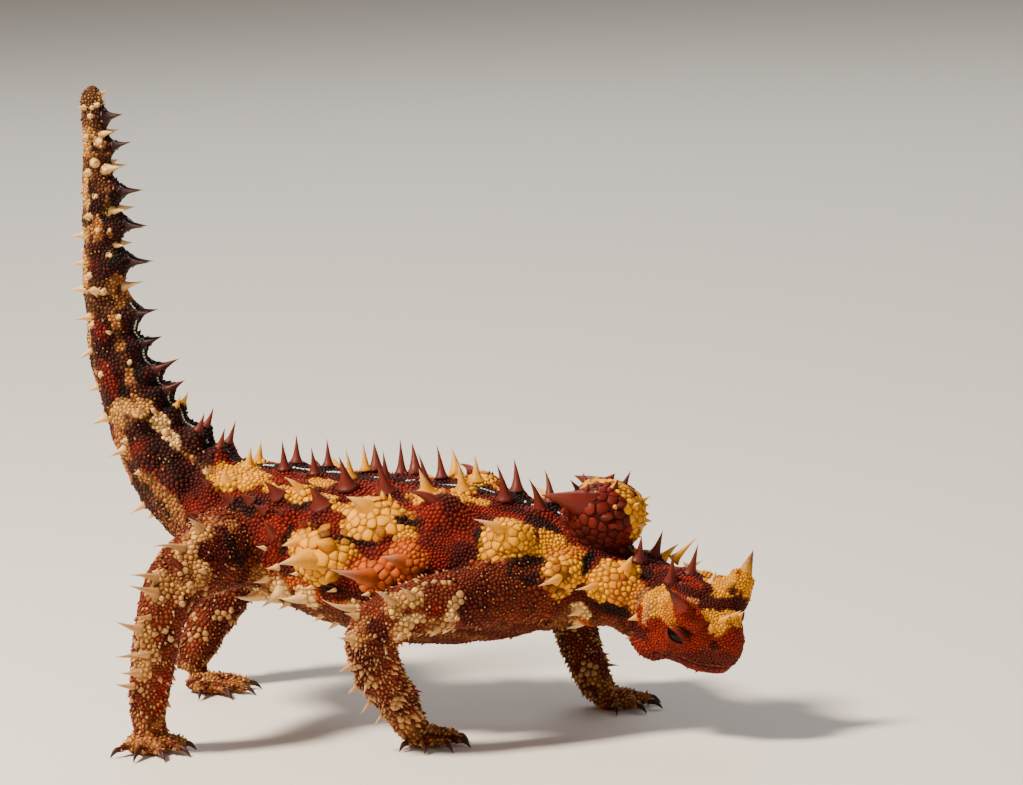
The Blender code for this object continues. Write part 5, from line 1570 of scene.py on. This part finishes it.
    def build(self, skin: Object, finish: Material) -> None:
        """Makes every scale, in pieces that each follow one line of the body."""
        self.lay(skin.data)
        found = self.anatomy.locate(self.places)
        self.dress(found)
        names, t = self.anatomy.parts(found)[0], found[:, 1]
        feet = self.places[:, 2] < self.feet_height * MM
        small, large = Stamp(7, 2, (0, 2, 3)), Stamp(12, 3, (0, 1, 2, 3))
        big = self.sizes > self.big_size * MM
        show = self.role > Role.BARE
        for name, low, high in REGIONS:
            here = show & (names == name.rsplit("-", 1)[0]) & ~feet & (t >= low) & (t < high)
            for stamp, mask, word in ((small, ~big, "scales"), (large, big, "plates")):
                chosen = np.flatnonzero(here & mask)
                if len(chosen):
                    spots = unwrap(found[chosen], low, high)
                    self.piece(f"{name}_{word}", chosen, spots, stamp, finish)
        chosen = np.flatnonzero(show & feet)
        self.piece("feet_scales", chosen, self.feet_spots(chosen), small, finish)
        log.info("scales in all: %d", int(show.sum()))

    def stripe(self, found: Array) -> None:
        """Paints the broken white line along the middle of the back."""
        middle = self.role == Role.STRIPE
        t = found[:, 1]
        dash = (np.sin(t * math.tau / 0.62) > 0.1) | (t > 9.4)
        gap = grain(self.places, 1.5 * MM, 14) > 0.22
        self.colours[middle & dash & gap] = rgb(WHITE)
        self.colours[middle & ~(dash & gap)] = rgb(BLACK) * 1.5


@dataclass
class Spines:
    """Every spine as a ridged, curved cone of horn on its lobe."""

    thicket: Thicket
    sides: int = 14
    rings: int = 11
    ridge: float = 0.045

    def places(self, thorns: list[Thorn], stamp: Stamp) -> tuple[Array, Array]:
        """The vertices of the spines and their share of the way to the tip."""
        draw = np.random.default_rng(31)
        values = [(t.root, t.normal, t.tip, t.horn, t.flare) for t in thorns]
        root, normal, tip, radius, flare = (np.array(column) for column in zip(*values))
        flare = flare[:, None]
        length = np.linalg.norm(tip - root, axis=1)
        reach = unit(tip - root)
        lying = 1 - np.clip(dot(reach, normal), 0, 1)
        way = unit(normal * 0.45 + reach)
        start = root - unit(normal + reach * 0.4) * (radius * (0.8 + 0.9 * lying))[:, None]
        waist = root + way * (length * 0.45)[:, None]
        share = (stamp.ring / stamp.rings) ** 1.15
        s = share[None, :, None]
        path = (1 - s) ** 2 * start[:, None] + 2 * s * (1 - s) * waist[:, None] + s**2 * tip[:, None]
        ahead = unit(2 * (1 - s) * (waist - start)[:, None] + 2 * s * (tip - waist)[:, None])
        reference = np.where(np.abs(normal[:, 2:3]) > 0.8, (1.0, 0.0, 0.0), (0.0, 0.0, 1.0))
        across = unit(np.cross(reference[:, None], ahead))
        over = np.cross(ahead, across)
        angle = stamp.angles()[stamp.side][None]
        phase = draw.uniform(0, math.tau, len(thorns))[:, None]
        thin = (1 - share[None]) ** 1.15 + flare * np.exp(-share[None] / 0.12) * (1 - share[None])
        thin = thin * (1 - 0.55 * lying[:, None] * np.exp(-share[None] / 0.16))
        cap = np.sqrt(1 - (1 - np.clip(share[None] / 0.15, 0.04, 1)) ** 2)
        thin = thin * (1 - smooth(0.15, 0.35, lying)[:, None] * (1 - cap))
        ribs = 1 + self.ridge * np.cos(7 * angle + phase) * (1 - share[None])
        wide = radius[:, None] * thin * ribs
        x = wide * np.cos(angle)
        y = wide * np.sin(angle)
        return path + across * x[..., None] + over * y[..., None], np.broadcast_to(share, wide.shape)

    @staticmethod
    def colours(thorns: list[Thorn], share: Array, places: Array) -> Array:
        """Each spine's tone, darker at its foot with painted shade where it meets the skin, and with a
        paler or darker tip.
        """
        base = np.array([rgb(t.tone) for t in thorns])
        legs = np.array([t.line.startswith(("fore", "hind")) and t.tone is CREAM for t in thorns])
        base[legs] = base[legs] * 0.35 + rgb(TAN) * 0.65
        pale = np.array([t.tone in (OCHRE, CREAM, ORANGE) for t in thorns])
        tip = base * 0.45 + rgb(WHITE) * 0.45
        end = np.where(pale[:, None], tip, base * 0.7 + rgb(TAN) * 0.2)
        blend = smooth(0.3, 1.0, share)[..., None] * 0.55
        colour = base[:, None] * (1 - blend) + end[:, None] * blend
        streak = grain(places.reshape(-1, 3), 0.55 * MM, 17).reshape(share.shape)
        # The foot of each spine is darkened: painted shade where it meets the skin and its lobe.
        foot = 0.62 + 0.38 * smooth(0.0, 0.25, share)
        return colour * (foot * (0.86 + 0.28 * streak))[..., None]

    def build(self, anatomy: Anatomy, finish: Material) -> None:
        """Makes the spines of each part of the body as one piece."""
        groups: dict[str, list[Thorn]] = {}
        for thorn in self.thicket.thorns:
            groups.setdefault(thorn.line, []).append(thorn)
        for name, thorns in groups.items():
            stamp = Stamp(self.sides, self.rings)
            places, share = self.places(thorns, stamp)
            places[..., 2] = np.maximum(places[..., 2], FLOOR)
            found = anatomy.locate(np.array([t.root for t in thorns]))
            spots = unwrap(found, 0.0, max(anatomy.lines[name].end, 1.0))
            mesh = stamp.mesh(f"{name}_spines", places, self.colours(thorns, share, places), spots)
            mesh_object(f"{name}_spines", mesh, finish)
            log.info("%s_spines: %d spines", name, len(thorns))


@dataclass
class Head:
    """The parts of the head that aren't skin or scales: horns, eyes, lids and nostrils."""

    anatomy: Anatomy

    def horns(self, finish: Material) -> None:
        """The two brow horns above their scaly stumps, with lengthwise ridges and rings."""
        for side, name in ((-1, "right"), (1, "left")):
            line = self.anatomy.horn(side)
            bm, verts, flat = sheet(46, 40)
            share = (flat[:, 0] + 1) / 2
            t, angle = 1.05 + (line.end - 1.05) * share, 180 * flat[:, 1]
            centre = line.blend(t)[:, :3]
            skin = line.surface(t, angle)
            ribs = 1 + 0.05 * np.cos(9 * np.radians(angle) + 3 * share) * (1 - share)
            ribs += 0.035 * np.sin(share * 46 + np.sin(np.radians(angle) * 2)) * (1 - share) ** 0.5
            wrap(bm, verts, centre + (skin - centre) * (ribs * 0.97)[:, None], 2e-6)
            mesh = new_mesh(f"brow_horn_{name}", bm)
            points = coordinates(mesh)
            tip = np.linalg.norm(points - line.rows[-1, :3], axis=1) / (6.0 * MM)
            pale = smooth(0.15, 0.9, tip)[:, None]
            # The near, right horn takes darker brown-red tones than the far horn: painted shade on a horn
            # like the other.
            low, high = (TAN, OCHRE) if side == 1 else (KNOB, FACE)
            streak = 0.7 + 0.55 * grain(points, 0.5 * MM, 41)[:, None]
            set_tones(mesh, (rgb(low) * 0.5 * (1 - pale) + rgb(high) * 0.9 * pale) * streak)
            obj = mesh_object(f"brow_horn_{name}", mesh, finish)
            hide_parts(f"horn_{name}")
            log.info("brow_horn_%s: %d faces", name, len(mesh.polygons))

    def eyes(self, finish: Material) -> None:
        """The two eyeballs, deep in the head behind their lids."""
        a = self.anatomy
        for side, name in ((-1, "right"), (1, "left")):
            x, y, z = a.eye_place
            bm = ball(a.skull(x, side * y, z), np.full(3, a.eye_radius * MM), a.turn, 48)
            bmesh.ops.recalc_face_normals(bm, faces=bm.faces)
            obj = mesh_object(f"eyeball_{name}", new_mesh(f"eyeball_{name}", bm), finish)
            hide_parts(f"eye_{name}")
            log.info("eyeball_%s", name)

    def lid(self, side: int, upper: bool) -> BMesh:
        """One lid, a shell round the eye with a thick rim along the slit."""
        bm, verts, flat = sheet(48, 20)
        rim = (flat[:, 1] + 1) / 2
        centre, ways = self.anatomy.lid(side, upper, flat[:, 0] * 96, rim)
        radius = (self.anatomy.lid_radius + 0.10 * np.exp(-((rim / 0.10) ** 2)) - 0.10 * rim) * MM
        move(verts, centre + ways * radius[:, None])
        bmesh.ops.recalc_face_normals(bm, faces=bm.faces)
        middle = sum((f.normal.dot(f.calc_center_median() - Vector(centre)) for f in bm.faces), 0.0)
        if middle < 0:
            bmesh.ops.reverse_faces(bm, faces=bm.faces)
        bmesh.ops.solidify(bm, geom=bm.faces[:], thickness=0.22 * MM)
        bmesh.ops.recalc_face_normals(bm, faces=bm.faces)
        return bm

    def lids(self, finish: Material) -> None:
        """Both lids of both eyes as one piece."""
        sides = ((side, upper) for side in (-1, 1) for upper in (True, False))
        mesh = new_mesh("lids", joined(self.lid(*each) for each in sides))
        mottle = grain(coordinates(mesh), 0.5 * MM, 51)[:, None]
        set_tones(mesh, rgb(KNOB) * (0.45 + 0.5 * mottle))
        mesh_object("lids", mesh, finish)
        log.info("lids: %d faces", len(mesh.polygons))

    def nostrils(self, finish: Material) -> None:
        """The rims of the nostrils, small rings round the pits of the skin."""
        bm = bmesh.new()
        for side in (-1, 1):
            way = Vector(self.anatomy.way(0.55, side * 0.75, 0.35))
            place = Vector(self.anatomy.skull(14.9, side * 3.0, 0.95))
            turn = way.to_track_quat("Z", "Y").to_matrix().to_4x4()
            ring = bmesh.ops.create_circle(bm, segments=10, radius=0.2 * MM)["verts"]
            start = Matrix.Translation((0.48 * MM, 0, 0)) @ Matrix.Rotation(math.radians(90), 4, "X")
            bmesh.ops.transform(bm, matrix=start, verts=ring)
            edges = list({e for v in ring for e in v.link_edges})
            before = set(bm.verts) - set(ring)
            bmesh.ops.spin(
                bm,
                geom=ring + edges,
                cent=(0, 0, 0),
                axis=(0, 0, 1),
                angle=math.tau,
                steps=20,
                use_merge=True,
            )
            fresh = [v for v in bm.verts if v not in before]
            bmesh.ops.remove_doubles(bm, verts=fresh, dist=1e-6)
            fresh = [v for v in bm.verts if v not in before]
            bmesh.ops.transform(bm, matrix=Matrix.Translation(place) @ turn, verts=fresh)
        bmesh.ops.recalc_face_normals(bm, faces=bm.faces)
        mesh = new_mesh("nostril_rims", bm)
        set_tones(mesh, np.tile(rgb(FACE) * 0.7, (len(mesh.vertices), 1)))
        mesh_object("nostril_rims", mesh, finish)
        log.info("nostril_rims")


@dataclass
class Claws:
    """The twenty claws, short curved nails of horn."""

    anatomy: Anatomy

    def build(self, finish: Material) -> None:
        """Makes all the claws as one piece."""
        toes = [(foot, *toe) for foot in FEET.values() for toe in zip(TOE_FAN, TOE_SHARES)]
        nails = [self.anatomy.toe(*toe)[1] for toe in toes]
        bm = joined(loft(nail, 0.0, nail.end, 12, 12) for nail in nails)
        for vert in bm.verts:
            vert.co.z = max(vert.co.z, 0.0)
        mesh = new_mesh("claws", bm)
        streak = 0.75 + 0.5 * grain(coordinates(mesh), 0.4 * MM, 61)[:, None]
        set_tones(mesh, rgb(UMBER) * 1.7 * streak)
        mesh_object("claws", mesh, finish)
        log.info("claws: %d faces", len(mesh.polygons))


def add_node(tree: NodeTree, kind: str, settings: dict, links: dict) -> Node:
    """Adds one node with its settings and its links.

    Args:
        tree: the material's node tree.
        kind: the node's type.
        settings: properties by name, and input values by socket name.
        links: input sockets by name, each with the output that feeds it.

    Returns:
        The node.
    """
    node = tree.nodes.new(kind)
    for key, value in settings.items():
        if key in node.inputs:
            node.inputs[key].default_value = value
        else:
            setattr(node, key, value)
    for key, output in links.items():
        tree.links.new(output, node.inputs[key])
    return node


def blank_material(name: str) -> tuple[Material, NodeTree]:
    """A new material whose node tree is still empty."""
    material = bpy.data.materials.new(name)
    material.use_nodes = True
    material.node_tree.nodes.clear()
    return material, material.node_tree


def noise(tree: NodeTree, size: float, detail: float) -> NodeSocket:
    """Noise fixed to the object, with lumps of one size in mm."""
    place = add_node(tree, "ShaderNodeTexCoord", {}, {}).outputs["Object"]
    settings = {"Scale": 1 / (size * MM), "Detail": detail}
    return add_node(tree, "ShaderNodeTexNoise", settings, {"Vector": place}).outputs["Fac"]


def spread(tree: NodeTree, value: NodeSocket, low: float, high: float) -> NodeSocket:
    """The middle of a noise, from 0.3 to 0.7, as values from low to high."""
    settings = {"From Min": 0.3, "From Max": 0.7, "To Min": low, "To Max": high}
    return add_node(tree, "ShaderNodeMapRange", settings, {"Value": value}).outputs["Result"]


@dataclass(frozen=True)
class Finish:
    """A finish that takes its colour from the markings stored on the mesh."""

    name: str
    roughness: float
    specular: float
    grit: float
    relief: float
    mottle: float

    def material(self) -> Material:
        """Builds the material's nodes."""
        material, tree = blank_material(self.name)
        tone = add_node(tree, "ShaderNodeAttribute", {"attribute_name": "Tone"}, {}).outputs["Color"]
        fine, broad = noise(tree, self.grit, 3.0), noise(tree, 1.3, 2.0)
        shade = spread(tree, fine, 1 - self.mottle, 1 + self.mottle)
        scaled = add_node(
            tree, "ShaderNodeVectorMath", {"operation": "SCALE"}, {"Vector": tone, "Scale": shade}
        )
        bump = add_node(
            tree, "ShaderNodeBump", {"Strength": 0.6, "Distance": self.relief * MM}, {"Height": fine}
        )
        feeds = {
            "Base Color": scaled.outputs["Vector"],
            "Roughness": spread(tree, broad, self.roughness - 0.08, self.roughness + 0.1),
            "Normal": bump.outputs["Normal"],
        }
        shader = add_node(tree, "ShaderNodeBsdfPrincipled", {"Specular IOR Level": self.specular}, feeds)
        add_node(tree, "ShaderNodeOutputMaterial", {}, {"Surface": shader.outputs["BSDF"]})
        return material


@dataclass(frozen=True)
class EyeFinish:
    """The wet dark eye: a near-black brown under a clear, smooth cornea."""

    name: str = "wet_eye"
    tone: str = "#070303"
    glint: str = "#140804"

    def material(self) -> Material:
        """Builds the material's nodes."""
        material, tree = blank_material(self.name)
        ramp = add_node(tree, "ShaderNodeValToRGB", {}, {"Fac": noise(tree, 0.35, 2.0)})
        ramp.color_ramp.elements[0].color = (*linear(self.tone), 1.0)
        ramp.color_ramp.elements[1].color = (*linear(self.glint), 1.0)
        shader = add_node(
            tree,
            "ShaderNodeBsdfPrincipled",
            {"Roughness": 0.07, "IOR": 1.376, "Specular IOR Level": 0.22},
            {"Base Color": ramp.outputs["Color"]},
        )
        add_node(tree, "ShaderNodeOutputMaterial", {}, {"Surface": shader.outputs["BSDF"]})
        return material


# Bare hide between the scales: dull, dry keratin skin with fine folds and dust in them.
HIDE = Finish("dry_hide", roughness=0.8, specular=0.12, grit=0.22, relief=0.08, mottle=0.22)
# Scales: thick keratin worn smooth on top, so they catch small soft highlights.
SCALE = Finish("worn_scale", roughness=0.54, specular=0.14, grit=0.30, relief=0.05, mottle=0.12)
# Spines, horns and claws: denser horn, smoother and glossier, with fine streaks.
HORN = Finish("polished_horn", roughness=0.5, specular=0.26, grit=0.26, relief=0.04, mottle=0.12)


@dataclass
class Studio:
    """The pale floor, the soft lights and the camera at the photograph's angle."""

    anatomy: Anatomy
    azimuth: float = 18.0
    elevation: float = 9.0
    roll: float = 2.0
    distance: float = 1.0
    aim_height: float = 0.0569
    pixels_per_mm: float = 6.0
    image_width: int = 1023
    sensor: float = 36.0

    def camera(self) -> None:
        """Places the camera as it was fitted to the photograph."""
        a, e, r = (math.radians(v) for v in (self.azimuth, self.elevation, self.roll))
        back = Vector((math.sin(a) * math.cos(e), -math.cos(a) * math.cos(e), math.sin(e)))
        right = Vector((math.cos(a), math.sin(a), 0.0))
        up = back.cross(right)
        side = right * math.cos(r) - up * math.sin(r)
        top = right * math.sin(r) + up * math.cos(r)
        target = Vector((*self.anatomy.shift[:2], self.aim_height))
        matrix = Matrix((side, top, back)).transposed().to_4x4()
        matrix.translation = target + back * self.distance
        data = bpy.data.cameras.new("camera")
        data.sensor_width = self.sensor
        data.lens = self.sensor * self.distance / (self.image_width / self.pixels_per_mm * MM)
        data.clip_start, data.clip_end = 0.05, 20.0
        obj = linked("camera", data)
        obj.matrix_world = matrix
        bpy.context.scene.camera = obj

    @staticmethod
    def light(name: str, place: tuple, size: float, power: float, tone: str) -> None:
        """One soft square light that faces the animal."""
        data = bpy.data.lights.new(name, "AREA")
        data.size = size
        data.energy = power
        data.color = linear(tone)
        way = Vector((0, 0, 0.03)) - Vector(place)
        turn = way.to_track_quat("-Z", "Y").to_matrix().to_4x4()
        linked(name, data).matrix_world = Matrix.Translation(place) @ turn

    def build(self) -> None:
        """Makes the floor, the lights, the world and the camera."""
        self.camera()
        bm = bmesh.new()
        bmesh.ops.create_grid(bm, x_segments=1, y_segments=1, size=3.0)
        floor = linked("floor", new_mesh("floor", bm))
        material = bpy.data.materials.new("studio_paper")
        material.use_nodes = True
        shader = material.node_tree.nodes["Principled BSDF"]
        shader.inputs["Base Color"].default_value = (*linear("#E9E3DA"), 1.0)
        shader.inputs["Roughness"].default_value = 0.9
        floor.data.materials.append(material)
        self.light("key", (-0.34, -0.30, 0.60), 0.13, 14.0, "#FFF0DA")
        self.light("fill", (0.75, -0.85, 0.45), 0.9, 2.0, "#FFFFFF")
        self.light("rim", (-0.3, 0.8, 0.7), 0.6, 4.0, "#FFFFFF")
        world = bpy.data.worlds.new("studio")
        world.use_nodes = True
        sky = world.node_tree.nodes["Background"].inputs
        sky["Color"].default_value = (*linear("#F2F0EE"), 1.0)
        sky["Strength"].default_value = 0.26
        bpy.context.scene.world = world
        log.info("studio")


def main() -> None:
    """Builds the animal and the studio in order."""
    logging.basicConfig(level=logging.INFO, format="%(name)s %(message)s", stream=sys.stdout)
    anatomy = Anatomy()
    thicket = Thicket(anatomy)
    bosses = Bosses(anatomy, thicket)
    markings = Markings(anatomy, thicket)
    hide, scale, horn = HIDE.material(), SCALE.material(), HORN.material()
    skin = Hide(anatomy, bosses).build(markings, hide)
    Mosaic(anatomy, thicket, markings).build(skin, scale)
    Spines(thicket).build(anatomy, horn)
    head = Head(anatomy)
    head.horns(horn)
    head.eyes(EyeFinish().material())
    head.lids(scale)
    head.nostrils(scale)
    Claws(anatomy).build(horn)
    Studio(anatomy).build()


if __name__ == "__main__":
    main()
